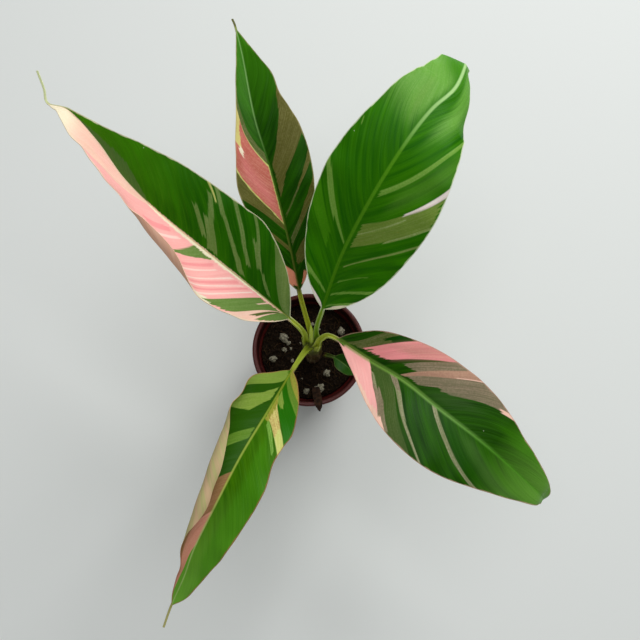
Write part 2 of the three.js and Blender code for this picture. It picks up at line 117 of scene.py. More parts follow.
# The pot: one thin moulding of brick-red plastic with a band, a rolled rim
# and six drain holes. It is drawn up ring by ring from its foot and down again inside.
POT_RINGS = (
    (19.7, 0.0), (20.5, 0.8), (25.8, 43.0), (27.0, 44.2), (27.4, 49.0), (28.5, 49.6), (29.0, 50.4),
    (28.8, 51.6), (28.1, 52.0), (26.8, 51.7), (26.4, 50.6), (26.0, 44.6), (24.85, 43.4), (19.75, 2.0),
    (18.85, 1.2),
)
POT_SIDES = 120
POT_EDGE_ROUNDING = 0.22
POT_EDGE_ANGLE = math.radians(28)
DRAIN_HOLES = 6
DRAIN_RING_RADIUS = 13.5
DRAIN_RADIUS = 2.6
DRILL_SIDES = 32
DRILL_LENGTH = 6
POT_COLOUR = "#521a18"
POT_BLOTCH_COLOUR = "#491713"
POT_WORN_COLOUR = "#8a4a44"
# The pot's inner wall above the soil is darkened with painted shade and with peat staining
POT_INNER_SHADE_AND_STAIN_COLOUR = "#1c0d09"
SHADE_AND_STAIN_OUTER_RADIUS = 27.9 * MM
SHADE_AND_STAIN_INNER_RADIUS = 27.1 * MM
SHADE_AND_STAIN_RAGGEDNESS = 1.6 * MM
BAND_FOOT_HEIGHT = 44.2 * MM
BAND_FULL_HEIGHT = 45.2 * MM


def pick(piece, *others):
    """Selects a piece, with others or alone, and makes it the active one."""
    bpy.ops.object.select_all(action="DESELECT")
    for chosen in (piece, *others):
        chosen.select_set(True)
    bpy.context.view_layer.objects.active = piece


def edit(piece):
    """Opens a piece for shaping with all of it selected."""
    pick(piece)
    bpy.ops.object.mode_set(mode="EDIT")
    bpy.ops.mesh.select_all(action="SELECT")


def close_shape():
    """Turns all faces of the open piece outwards and ends its shaping."""
    bpy.ops.mesh.select_all(action="SELECT")
    bpy.ops.mesh.normals_make_consistent(inside=False)
    bpy.ops.object.mode_set(mode="OBJECT")


def apply_modifiers(piece):
    """Makes each modifier of a piece part of its mesh."""
    pick(piece)
    for modifier in list(piece.modifiers):
        bpy.ops.object.modifier_apply(modifier=modifier.name)


def place_in_mesh(piece, name):
    """Moves a piece's place into its mesh and names it."""
    pick(piece)
    bpy.ops.object.transform_apply(location=True, rotation=True, scale=True)
    piece.name = name
    piece.data.name = name


def drawn_up(sides, rings, axis):
    """A round shape drawn ring by ring, each (radius, height) in millimetres round a point of an axis."""
    radius, height = rings[0]
    x, y = axis(height)
    bpy.ops.object.select_all(action="DESELECT")
    bpy.ops.mesh.primitive_circle_add(
        vertices=sides, radius=radius * MM, fill_type="NGON", location=(x * MM, y * MM, height * MM))
    bpy.ops.object.transform_apply(location=True, rotation=True, scale=True)
    piece = bpy.context.object
    edit(piece)
    for (radius_before, height_before), (radius, height) in zip(rings, rings[1:]):
        x_before, y_before = x, y
        x, y = axis(height)
        step = ((x - x_before) * MM, (y - y_before) * MM, (height - height_before) * MM)
        bpy.ops.mesh.extrude_region_move(TRANSFORM_OT_translate={"value": step})
        widen = radius / radius_before
        bpy.ops.transform.resize(value=(widen, widen, 1), center_override=(x * MM, y * MM, height * MM))
    close_shape()
    return piece


def finished(piece, name, material, replaced=None, smooth=50):
    """Gives a piece its name, finish and smoothing angle, and fixes it to the plant."""
    place_in_mesh(piece, name)
    piece.data.materials.clear()
    piece.data.materials.append(material)
    bpy.ops.object.shade_smooth_by_angle(angle=math.radians(smooth))
    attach(piece, "root")
    if replaced:
        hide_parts(replaced)


def feed(socket, value):
    """Sets a socket to a value, or links another socket to it."""
    if isinstance(value, bpy.types.NodeSocket):
        socket.id_data.links.new(value, socket)
    else:
        socket.default_value = value


def add_node(tree, kind, inputs=None, **settings):
    """A shader node with its settings made and its inputs fed."""
    node = tree.nodes.new(kind)
    for key, value in settings.items():
        setattr(node, key, value)
    for key, value in (inputs or {}).items():
        feed(node.inputs[key], value)
    return node


def maths(operation, first, second=0.0, clamp=False):
    """The result of one Math node, in the tree of the socket among its two values."""
    tree = (first if isinstance(first, bpy.types.NodeSocket) else second).id_data
    node = add_node(tree, "ShaderNodeMath", {0: first, 1: second}, operation=operation, use_clamp=clamp)
    return node.outputs[0]


def product(first, second):
    """Two values multiplied."""
    return maths("MULTIPLY", first, second)


def ranged(value, low, high, bottom=0.0, top=1.0, **settings):
    """A value between low and high brought between bottom and top, and held there."""
    node = add_node(value.id_data, "ShaderNodeMapRange", {
        "Value": value, "From Min": low, "From Max": high, "To Min": bottom, "To Max": top}, **settings)
    return node.outputs[0]


def blended(share, first, second):
    """Two colours mixed by a share."""
    node = add_node(share.id_data, "ShaderNodeMix", {0: share, 6: first, 7: second}, data_type="RGBA")
    return node.outputs[2]


def place_on(tree):
    """Where on its piece a point is."""
    return add_node(tree, "ShaderNodeTexCoord").outputs["Object"]


def mottle(at, scale, detail, roughness=0.5):
    """Soft noise between 0 and 1."""
    node = add_node(at.id_data, "ShaderNodeTexNoise", {
        "Vector": at, "Scale": scale, "Detail": detail, "Roughness": roughness})
    return node.outputs["Fac"]


def stretched(at, upright):
    """A place drawn out along Z, so that a pattern on it runs in upright lines."""
    return add_node(at.id_data, "ShaderNodeMapping", {"Vector": at, "Scale": (1, 1, upright)}).outputs[0]


def emboss(surface, height, strength, depth):
    """Gives a surface fine relief from a height."""
    raised = add_node(height.id_data, "ShaderNodeBump", {
        "Height": height, "Strength": strength, "Distance": depth})
    feed(surface.inputs["Normal"], raised.outputs[0])


pot = drawn_up(POT_SIDES, POT_RINGS, axis=lambda height: (0, 0))
for k in range(DRAIN_HOLES):
    turn = 2 * math.pi * k / DRAIN_HOLES
    at = (DRAIN_RING_RADIUS * math.cos(turn) * MM, DRAIN_RING_RADIUS * math.sin(turn) * MM, 0)
    bpy.ops.mesh.primitive_cylinder_add(
        vertices=DRILL_SIDES, radius=DRAIN_RADIUS * MM, depth=DRILL_LENGTH * MM, location=at)
    drill = bpy.context.object
    cut = pot.modifiers.new("drain hole", "BOOLEAN")
    cut.object = drill
    cut.operation = "DIFFERENCE"
    apply_modifiers(pot)
    bpy.data.objects.remove(drill)
softened = pot.modifiers.new("moulded edges", "BEVEL")
softened.width = POT_EDGE_ROUNDING * MM
softened.segments = 2
softened.limit_method = "ANGLE"
softened.angle_limit = POT_EDGE_ANGLE
apply_modifiers(pot)

pot_finish, tree, surface = new_finish("brick-red moulded plastic", roughness=0.38)
where = place_on(tree)
blotches = mottle(where, scale=60, detail=4)
scuffed = ranged(mottle(stretched(where, 0.06), scale=900, detail=3), 0.6, 0.74, top=0.3)
tone = blended(product(blotches, 0.5), shade(POT_COLOUR), shade(POT_BLOTCH_COLOUR))
tone = blended(scuffed, tone, shade(POT_WORN_COLOUR))
level = add_node(tree, "ShaderNodeVectorMath", {0: where, 1: (1, 1, 0)}, operation="MULTIPLY").outputs[0]
from_middle = add_node(tree, "ShaderNodeVectorMath", {0: level}, operation="LENGTH").outputs["Value"]
# Painted shade and peat staining on the inner wall above the soil, with a ragged edge from the blotches
shaded_and_stained = maths("ADD", from_middle, product(blotches, SHADE_AND_STAIN_RAGGEDNESS))
shaded_and_stained = ranged(shaded_and_stained, SHADE_AND_STAIN_OUTER_RADIUS, SHADE_AND_STAIN_INNER_RADIUS, top=0.8)
height = add_node(tree, "ShaderNodeSeparateXYZ", {"Vector": where}).outputs["Z"]
shaded_and_stained = product(shaded_and_stained, ranged(height, BAND_FOOT_HEIGHT, BAND_FULL_HEIGHT))
feed(surface.inputs["Base Color"], blended(shaded_and_stained, tone, shade(POT_INNER_SHADE_AND_STAIN_COLOUR)))
feed(surface.inputs["Roughness"], ranged(blotches, 0.3, 0.7, 0.32, 0.5))
surface.inputs["Specular IOR Level"].default_value = 0.35
emboss(surface, mottle(where, scale=2200, detail=2), strength=0.12, depth=0.0001)
finished(pot, "nursery_pot", pot_finish, "pot", smooth=30)


# The soil: dark peat in crumbs that fills the pot to a low dome, with pale perlite grains,
# thin root and bark fibres, and one long bark chip that lies over the front of the rim
SOIL_EDGE_RADIUS = 24.4
SOIL_EDGE_HEIGHT = 45.0
SOIL_DOME = 1.4
SOIL_FOOT_RADIUS = 18.2
SOIL_FOOT_HEIGHT = 1.6
SOIL_GRID = 120
SOIL_SEED = 4
CLOD_SIZE, CLOD_HEIGHT = 4.5, 0.75
CRUMB_SIZE, CRUMB_HEIGHT = 1.2, 0.3
WALL_CLEARANCE = 1.2
STEM_CLEARANCE = 5.2
STEM_BASE_AT = (2.0, -2.4)
LARGE_GRAINS = (
    (-13, 6.5, 2.4), (5.5, -19.5, 2.3), (-18.5, -4.5, 1.8), (16.5, 10, 2.0), (9, -11.5, 1.7),
    (-1.5, -21, 1.6),
)
SMALL_GRAINS = 12
SMALL_GRAIN_RADII = (0.5, 1.4)
CRUMBS = 420
CRUMB_RADII = (0.4, 1.25)
CRUMB_CLEARANCE = 4.6
FIBRES = 110
FIBRE_LENGTHS = (0.3, 0.95)
FIBRE_CLEARANCE = 6.2
FIBRE_HALF_LENGTH = 3
FIBRE_RADIUS = 0.14
SCATTER_SEED = 61


def on_soil(x, y, above):
    """A place some millimetres above the smooth dome of the soil."""
    reach = math.hypot(x, y) / SOIL_EDGE_RADIUS
    height = SOIL_EDGE_HEIGHT + SOIL_DOME * (1 - reach * reach)
    return Vector((x * MM, y * MM, (height + above) * MM))


bpy.ops.object.select_all(action="DESELECT")
bpy.ops.mesh.primitive_grid_add(x_subdivisions=SOIL_GRID, y_subdivisions=SOIL_GRID, size=2)
soil = bpy.context.object
for vertex in soil.data.vertices:
    across, along = vertex.co.x, vertex.co.y
    x = SOIL_EDGE_RADIUS * across * math.sqrt(1 - along * along / 2)
    y = SOIL_EDGE_RADIUS * along * math.sqrt(1 - across * across / 2)
    clods = noise.fractal(Vector((x / CLOD_SIZE, y / CLOD_SIZE, SOIL_SEED)), 0.7, 2.1, 5)
    crumb = noise.fractal(Vector((x / CRUMB_SIZE, y / CRUMB_SIZE, SOIL_SEED + 9)), 0.5, 2.2, 3)
    vertex.co = on_soil(x, y, CLOD_HEIGHT * clods + CRUMB_HEIGHT * crumb)
edit(soil)
bpy.ops.mesh.region_to_loop()
drop = SOIL_FOOT_HEIGHT - SOIL_EDGE_HEIGHT
bpy.ops.mesh.extrude_region_move(TRANSFORM_OT_translate={"value": (0, 0, drop * MM)})
narrow = SOIL_FOOT_RADIUS / SOIL_EDGE_RADIUS
bpy.ops.transform.resize(value=(narrow, narrow, 0.0), center_override=(0, 0, SOIL_FOOT_HEIGHT * MM))
bpy.ops.mesh.edge_face_add()
close_shape()

NUMBER, COLOUR = "NodeSocketFloat", "NodeSocketColor"


def new_group(name, inputs, outputs):
    """An empty shader node group, and the sockets of its input node and of its output node."""
    group = bpy.data.node_groups.new(name, "ShaderNodeTree")
    for way, labels in (("INPUT", inputs), ("OUTPUT", outputs)):
        for label, kind in labels.items():
            group.interface.new_socket(label, in_out=way, socket_type=kind)
    return group, group.nodes.new("NodeGroupInput").outputs, group.nodes.new("NodeGroupOutput").inputs


# Group: the earthy speckle that the soil, its crumbs and its fibres share
speckle, given, result = new_group(
    "damp peat speckle", {"Dark": COLOUR, "Light": COLOUR, "Scale": NUMBER},
    {"Color": COLOUR, "Height": NUMBER})
fine = mottle(place_on(speckle), given["Scale"], detail=8, roughness=0.7)
feed(result["Color"], blended(ranged(fine, 0.42, 0.75), given["Dark"], given["Light"]))
feed(result["Height"], fine)


def earthy_finish(name, dark, light, scale, roughness=0.9, relief=0.0006):
    """A rough natural material speckled between two colours."""
    material, tree, surface = new_finish(name, roughness)
    surface.inputs["Specular IOR Level"].default_value = 0.1
    speckled = add_node(tree, "ShaderNodeGroup", {
        "Dark": shade(dark), "Light": shade(light), "Scale": scale}, node_tree=speckle)
    feed(surface.inputs["Base Color"], speckled.outputs["Color"])
    emboss(surface, speckled.outputs["Height"], strength=0.6, depth=relief)
    return material


peat_finish = earthy_finish("damp peat", "#0c0703", "#281a0d", 900)
crumb_finish = earthy_finish("peat crumbs", "#110b07", "#362617", 1300)
fibre_finish = earthy_finish("root and bark fibres", "#24170d", "#5c452b", 1500, relief=0.0002)
perlite_finish = earthy_finish("perlite", "#6f6a58", "#b9b4a0", 1100, roughness=0.8, relief=0.0003)
bark_finish = earthy_finish("bark chip", "#1c120c", "#4a3223", 420, roughness=0.8)
finished(soil, "soil_plug", peat_finish, "soil", smooth=60)


def scattered(model, spots, name, material):
    """Copies of a model at spots of (place, turn, size), joined in one piece."""
    copies = []
    for place, turn, size in spots:
        copy = model.copy()
        copy.data = model.data.copy()
        copy.data.transform(Matrix.Translation(place) @ turn @ Matrix.Diagonal((*size, 1)))
        bpy.context.collection.objects.link(copy)
        copies.append(copy)
    bpy.data.objects.remove(model)
    pick(*copies)
    bpy.ops.object.join()
    finished(copies[0], name, material)


def any_turn(dice):
    """A random turn about the upright axis and a tip about X."""
    spin = Matrix.Rotation(dice.uniform(0, math.tau), 4, "Z")
    tip = Matrix.Rotation(dice.uniform(0, math.tau), 4, "X")
    return spin @ tip


def soil_spot(dice, sink, clear=STEM_CLEARANCE):
    """A random place on the soil, clear of the stem and of the pot's wall, sunk a little."""
    while True:
        x = dice.uniform(-SOIL_EDGE_RADIUS, SOIL_EDGE_RADIUS)
        y = dice.uniform(-SOIL_EDGE_RADIUS, SOIL_EDGE_RADIUS)
        from_stem = math.hypot(x - STEM_BASE_AT[0], y - STEM_BASE_AT[1])
        if math.hypot(x, y) < SOIL_EDGE_RADIUS - WALL_CLEARANCE and from_stem > clear:
            return on_soil(x, y, -sink)


def pebble(subdivisions, roughness, seed):
    """A lumpy grain one millimetre in radius."""
    bpy.ops.mesh.primitive_ico_sphere_add(subdivisions=subdivisions, radius=1, location=(0, 0, 0))
    grain = bpy.context.object
    for vertex in grain.data.vertices:
        lump = 1 + roughness * noise.fractal(vertex.co * 1.6 + Vector((seed, 0, 0)), 0.6, 2.2, 3)
        vertex.co *= lump * MM
    return grain


dice = random.Random(SCATTER_SEED)
crumb_spots = []
for _ in range(CRUMBS):
    size = dice.uniform(*CRUMB_RADII)
    spot = soil_spot(dice, sink=0.2 * size, clear=CRUMB_CLEARANCE)
    turn = any_turn(dice)
    crumb_spots.append((spot, turn, (size, size * dice.uniform(0.6, 1), size * dice.uniform(0.5, 0.9))))
scattered(pebble(subdivisions=2, roughness=0.55, seed=3), crumb_spots, "peat_crumbs", crumb_finish)

grain_spots = []
for x, y, size in LARGE_GRAINS:
    grain_spots.append((on_soil(x, y, 0.35 * size), any_turn(dice), (size, 0.9 * size, 0.8 * size)))
for _ in range(SMALL_GRAINS):
    size = dice.uniform(*SMALL_GRAIN_RADII)
    grain_spots.append((soil_spot(dice, sink=-0.2 * size), any_turn(dice), (size, 0.85 * size, 0.8 * size)))
scattered(pebble(subdivisions=3, roughness=0.45, seed=8), grain_spots, "perlite_grains", perlite_finish)

# A fibre is a thin rod cut across into short lengths, then bent to one side and down
bpy.ops.object.select_all(action="DESELECT")
bpy.ops.mesh.primitive_cylinder_add(
    vertices=5, radius=FIBRE_RADIUS * MM, depth=2 * FIBRE_HALF_LENGTH * MM, rotation=(0, math.pi / 2, 0))
fibre = bpy.context.object
place_in_mesh(fibre, "fibre")
edit(fibre)
bpy.ops.mesh.select_all(action="DESELECT")
bpy.ops.mesh.select_mode(type="EDGE")
bpy.ops.object.mode_set(mode="OBJECT")
for edge in fibre.data.edges:
    start, end = [fibre.data.vertices[i].co.x for i in edge.vertices]
    edge.select = abs(start - end) > 1 * MM
bpy.ops.object.mode_set(mode="EDIT")
bpy.ops.mesh.subdivide(number_cuts=6)
bpy.ops.object.mode_set(mode="OBJECT")
for vertex in fibre.data.vertices:
    share = vertex.co.x / (FIBRE_HALF_LENGTH * MM)
    vertex.co.y += 0.5 * MM * share * share
    vertex.co.z -= 0.35 * MM * share ** 3
fibre_spots = []
for _ in range(FIBRES):
    spot = soil_spot(dice, sink=-0.5, clear=FIBRE_CLEARANCE)
    lying = Matrix.Rotation(dice.uniform(0, math.tau), 4, "Z")
    lying @= Matrix.Rotation(dice.uniform(-0.3, 0.3), 4, "Y")
    length = dice.uniform(*FIBRE_LENGTHS)
    fibre_spots.append((spot, lying, (length, dice.uniform(0.6, 1.4), dice.uniform(0.6, 1.6))))
scattered(fibre, fibre_spots, "soil_fibres", fibre_finish)

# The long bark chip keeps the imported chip's heading, slope and place
BARK_HEADING = math.radians(-80)
BARK_SLOPE = math.radians(36)
BARK_REACH = 25.0
BARK_HEIGHT = 50.8
BARK_LENGTH = 15.0
BARK_TIP = 8.8
BARK_WIDTH = 4.2
BARK_THICKNESS = 1.05
BARK_ROUGHNESS = 0.12


def shell_grid(columns, rows):
    """A closed flat shell two units wide and deep, and its points: across, along and upper or not."""
    bpy.ops.object.select_all(action="DESELECT")
    bpy.ops.mesh.primitive_grid_add(x_subdivisions=columns, y_subdivisions=rows, size=2)
    shell = bpy.context.object
    edit(shell)
    bpy.ops.mesh.extrude_region_move(TRANSFORM_OT_translate={"value": (0, 0, 1)})
    close_shape()
    points = np.empty(len(shell.data.vertices) * 3)
    shell.data.vertices.foreach_get("co", points)
    return shell, points.reshape(-1, 3)


bark, _ = shell_grid(40, 12)
stand = Matrix.Rotation(BARK_HEADING, 4, "Z")
stand @= Matrix.Translation((BARK_REACH * MM, 0, BARK_HEIGHT * MM))
stand @= Matrix.Rotation(-BARK_SLOPE, 4, "Y")
for vertex in bark.data.vertices:
    along, across, upper = vertex.co
    tip = 1 - 0.86 * max(0.0, along) ** 2.2
    ragged = 1 + 0.25 * noise.noise(Vector((along * 4, across, 2.0)))
    x = BARK_TIP - BARK_LENGTH * (1 - along) / 2
    y = 0.5 * BARK_WIDTH * across * tip * ragged
    z = BARK_THICKNESS * upper + BARK_ROUGHNESS * (1 + noise.noise(Vector((x * 0.9, y * 3, upper))))
    vertex.co = stand @ Vector((x * MM, y * MM, z * MM))
finished(bark, "bark_chip", bark_finish)


# The pseudostem: a column of leaf bases wrapped round each other, with low seams that climb it,
# and the next leaf standing rolled up in its top. It is drawn up ring by ring, then fluted.
STEM_TOP_AT = (1.6, -0.2)
STEM_LEAN_START = 52.0
STEM_LEAN_END = 91.0
STEM_SIDES = 72
STEM_RINGS = (
    (3.8, 22.0), (4.1, 24.0), (4.35, 40.0), (4.35, 52.0), (4.3, 56.0), (4.2, 60.0), (4.1, 64.0),
    (4.0, 68.0), (3.9, 72.0), (3.8, 76.0), (3.7, 79.0), (3.2, 80.2), (1.6, 81.0), (1.05, 83.0),
    (1.0, 87.0), (0.98, 91.0), (0.9, 95.0), (0.75, 98.0), (0.5, 100.2), (0.12, 101.8),
)
ROLLED_TIP_LEAN = 0.42
SEAM_STEP = 0.3
SEAM_CLIMB = 0.035
SEAM_STARTS = (0.0, 0.38, 0.71)
FLUTE_DEPTH = 0.05
FLUTES = ((19, 0.0), (11, 1.7))
FLUTE_FADE_RADIUS = 3.4
# The pseudostem darkens to brown and near black towards the soil: its old dry leaf bases, with painted shade
# from the leaves above
AGE_AND_SHADE_HEIGHTS = (44 * MM, 100 * MM)
AGE_AND_SHADE_SWING = 16 * MM
STEM_AGE_AND_SHADE_STAGES = (
    (0, "#24150c"), (0.14, "#4a2a1c"), (0.35, "#4a301a"), (0.55, "#4c4614"), (0.68, "#6c7c1c"),
    (0.78, "#a0b820"), (1, "#bcd41c"),
)
STEM_THREAD_COLOUR = "#d7cf98"


def stem_axis(height):
    """Where the pseudostem's axis is at a height, in millimetres."""
    lean = min(max((height - STEM_LEAN_START) / (STEM_LEAN_END - STEM_LEAN_START), 0.0), 1.0)
    x = STEM_BASE_AT[0] + lean * (STEM_TOP_AT[0] - STEM_BASE_AT[0])
    y = STEM_BASE_AT[1] + lean * (STEM_TOP_AT[1] - STEM_BASE_AT[1])
    return x, y + ROLLED_TIP_LEAN * max(0.0, height - STEM_LEAN_END)


def either_way(value, swing):
    """Noise between 0 and 1 brought to swing round zero."""
    return product(maths("SUBTRACT", value, 0.5), swing)


def ramp(share, stops):
    """A colour that runs through stops of (share, colour)."""
    node = add_node(share.id_data, "ShaderNodeValToRGB", {"Fac": share})
    first, last = node.color_ramp.elements
    last.position = stops[-1][0]
    first.color = shade(stops[0][1])
    last.color = shade(stops[-1][1])
    for stop, code in stops[1:-1]:
        node.color_ramp.elements.new(stop).color = shade(code)
    return node.outputs[0]


stem = drawn_up(STEM_SIDES, STEM_RINGS, stem_axis)
for vertex in stem.data.vertices:
    height = vertex.co.z / MM
    x, y = stem_axis(height)
    outwards = Vector((vertex.co.x - x * MM, vertex.co.y - y * MM, 0))
    turn = math.atan2(outwards.y, outwards.x) / math.tau
    seams = sum((turn + start + SEAM_CLIMB * height / 4) % 1 for start in SEAM_STARTS) / len(SEAM_STARTS)
    flutes = FLUTE_DEPTH * sum(math.cos(math.tau * count * turn + start) for count, start in FLUTES)
    thin = min(1.0, outwards.length / (FLUTE_FADE_RADIUS * MM)) ** 2
    vertex.co += outwards.normalized() * (SEAM_STEP * (seams - 0.5) + flutes) * thin * MM

stem_finish, tree, surface = new_finish("wrapped leaf bases", roughness=0.42)
where = place_on(tree)
height = add_node(tree, "ShaderNodeSeparateXYZ", {"Vector": where}).outputs["Z"]
long_grain = stretched(where, 0.05)
threads = mottle(long_grain, scale=1500, detail=4)
# Painted shade together with the browning of old leaf bases, darker towards the foot, with a noisy edge
aged_and_shaded = maths("ADD", height, either_way(mottle(long_grain, scale=420, detail=3), AGE_AND_SHADE_SWING))
age_and_shade_colour = ramp(ranged(aged_and_shaded, *AGE_AND_SHADE_HEIGHTS), STEM_AGE_AND_SHADE_STAGES)
streaks = ranged(threads, 0.5, 0.72, top=0.45)
feed(surface.inputs["Base Color"], blended(streaks, age_and_shade_colour, shade(STEM_THREAD_COLOUR)))
emboss(surface, threads, strength=0.35, depth=0.0003)
finished(stem, "wrapped_pseudostem", stem_finish, "pseudostem", smooth=35)


# The leaves: thin blades on channelled stalks, each with a rounded midrib below, fine side veins
# that sweep towards the tip, and a clasping base that wraps the pseudostem. A pair of values that
# tapers runs from foot to tip.
SKIN_HALF_THICKNESS = 0.24
MARGIN_THINNING = 0.12
RIB_HALF_WIDTH = (1.1, 0.45)
RIB_DEPTH = (1.4, 0.1)
RIB_REACH = 1.05
STALK_HALF_WIDTH = 2.1
STALK_TAPER = 0.055
SMALL_STALK_HALF_WIDTH = 0.6
GROOVE_DEPTH = (0.08, 0.0)
GROOVE_HALF_WIDTH = 0.5
GROOVE_FADE = 0.05
GROOVE_IN_STALK = 0.4
SHOULDER_HALF_WIDTH = 0.4
SHOULDER_SHARE = 0.6
WAVE_HEIGHT = 0.3
WAVE_LENGTHS = (19, 11.5)
WAVE_FADE = 0.04
VEIN_CURVE = 1.15
VEIN_PASSES = 6
LEAF_ROWS = 340
LEAF_COLUMNS = 56
COLUMN_CROWDING = 1.3
FINE_STEPS = 6
STALK_ROWS = 0.13
THREAD_ROWS = 0.04
TANGENT_STEP = 0.4
SHEATH_COLUMNS = 36
SHEATH_ROWS = 44
SHEATH_FOOT_HEIGHT = 57.0
SHEATH_TOP_HEIGHT = 85.5
SHEATH_SPACING = 2.2
SHEATH_RADIUS = (4.3, 4.1)
SHEATH_TOP_RADIUS = 1.55
SHEATH_THICKNESS = 0.3
SHEATH_LAYER_GAP = 0.04
SHEATH_WRAP = ((0, 128), (0.6, 112), (0.9, 96), (1, 70))
SHEATH_LEAVES_STEM = 70.0
SHEATH_TOP_RAGGEDNESS = 0.5
SHEATH_TEARS = (1.7, 0.9)
STALK_FOOT_HEIGHT = 81.0
LEAF_ATTRIBUTES = ("along", "vein", "vein_mm", "out", "reach_mm", "margin_mm", "under")


def through(stations, values, at):
    """A smooth curve through values at uneven stations."""
    stations, values = np.asarray(stations, float), np.asarray(values, float)
    before = np.maximum(np.arange(len(stations)) - 1, 0)
    after = np.minimum(np.arange(len(stations)) + 1, len(stations) - 1)
    slopes = (values[after] - values[before]) / (stations[after] - stations[before])
    i = np.clip(np.searchsorted(stations, at, side="right") - 1, 0, len(stations) - 2)
    span = stations[i + 1] - stations[i]
    t = (at - stations[i]) / span
    bend = (2 * t - 3) * t * t
    ends = (1 + bend) * values[i] - bend * values[i + 1]
    return ends + (t * t - 2 * t + 1) * t * span * slopes[i] + (t - 1) * t * t * span * slopes[i + 1]


def smooth_path(points, steps=80):
    """Many points on a smooth curve through a few."""
    points = np.asarray(points, float)
    ends = np.vstack([2 * points[0] - points[1], points, 2 * points[-1] - points[-2]])
    path = []
    for a, b, c, d in zip(ends, ends[1:], ends[2:], ends[3:]):
        t = np.linspace(0, 1, steps, endpoint=False)[:, None]
        leave, arrive = (c - a) / 2, (d - b) / 2
        path.append(b + leave * t + (3 * c - 3 * b - 2 * leave - arrive) * t ** 2
                    + (2 * b - 2 * c + leave + arrive) * t ** 3)
    return np.vstack(path + [points[-1:]])


def tapered(ends, share):
    """A value that runs evenly from one end to the other."""
    return ends[0] + (ends[1] - ends[0]) * share


def vein_start(at, share, sweep):
    """Where along the blade the side vein through a point leaves the midrib."""
    start = np.array(at, float)
    for _ in range(VEIN_PASSES):
        start = at - (sweep[0] + sweep[1] * np.clip(start, 0, 1)) * share ** VEIN_CURVE
    return start


def mark(mesh, values):
    """Stores a value at each point of a mesh for its finish to read."""
    for name in LEAF_ATTRIBUTES:
        layer = mesh.attributes.new(name, "FLOAT", "POINT")
        layer.data.foreach_set("value", np.asarray(values[name], np.float32))


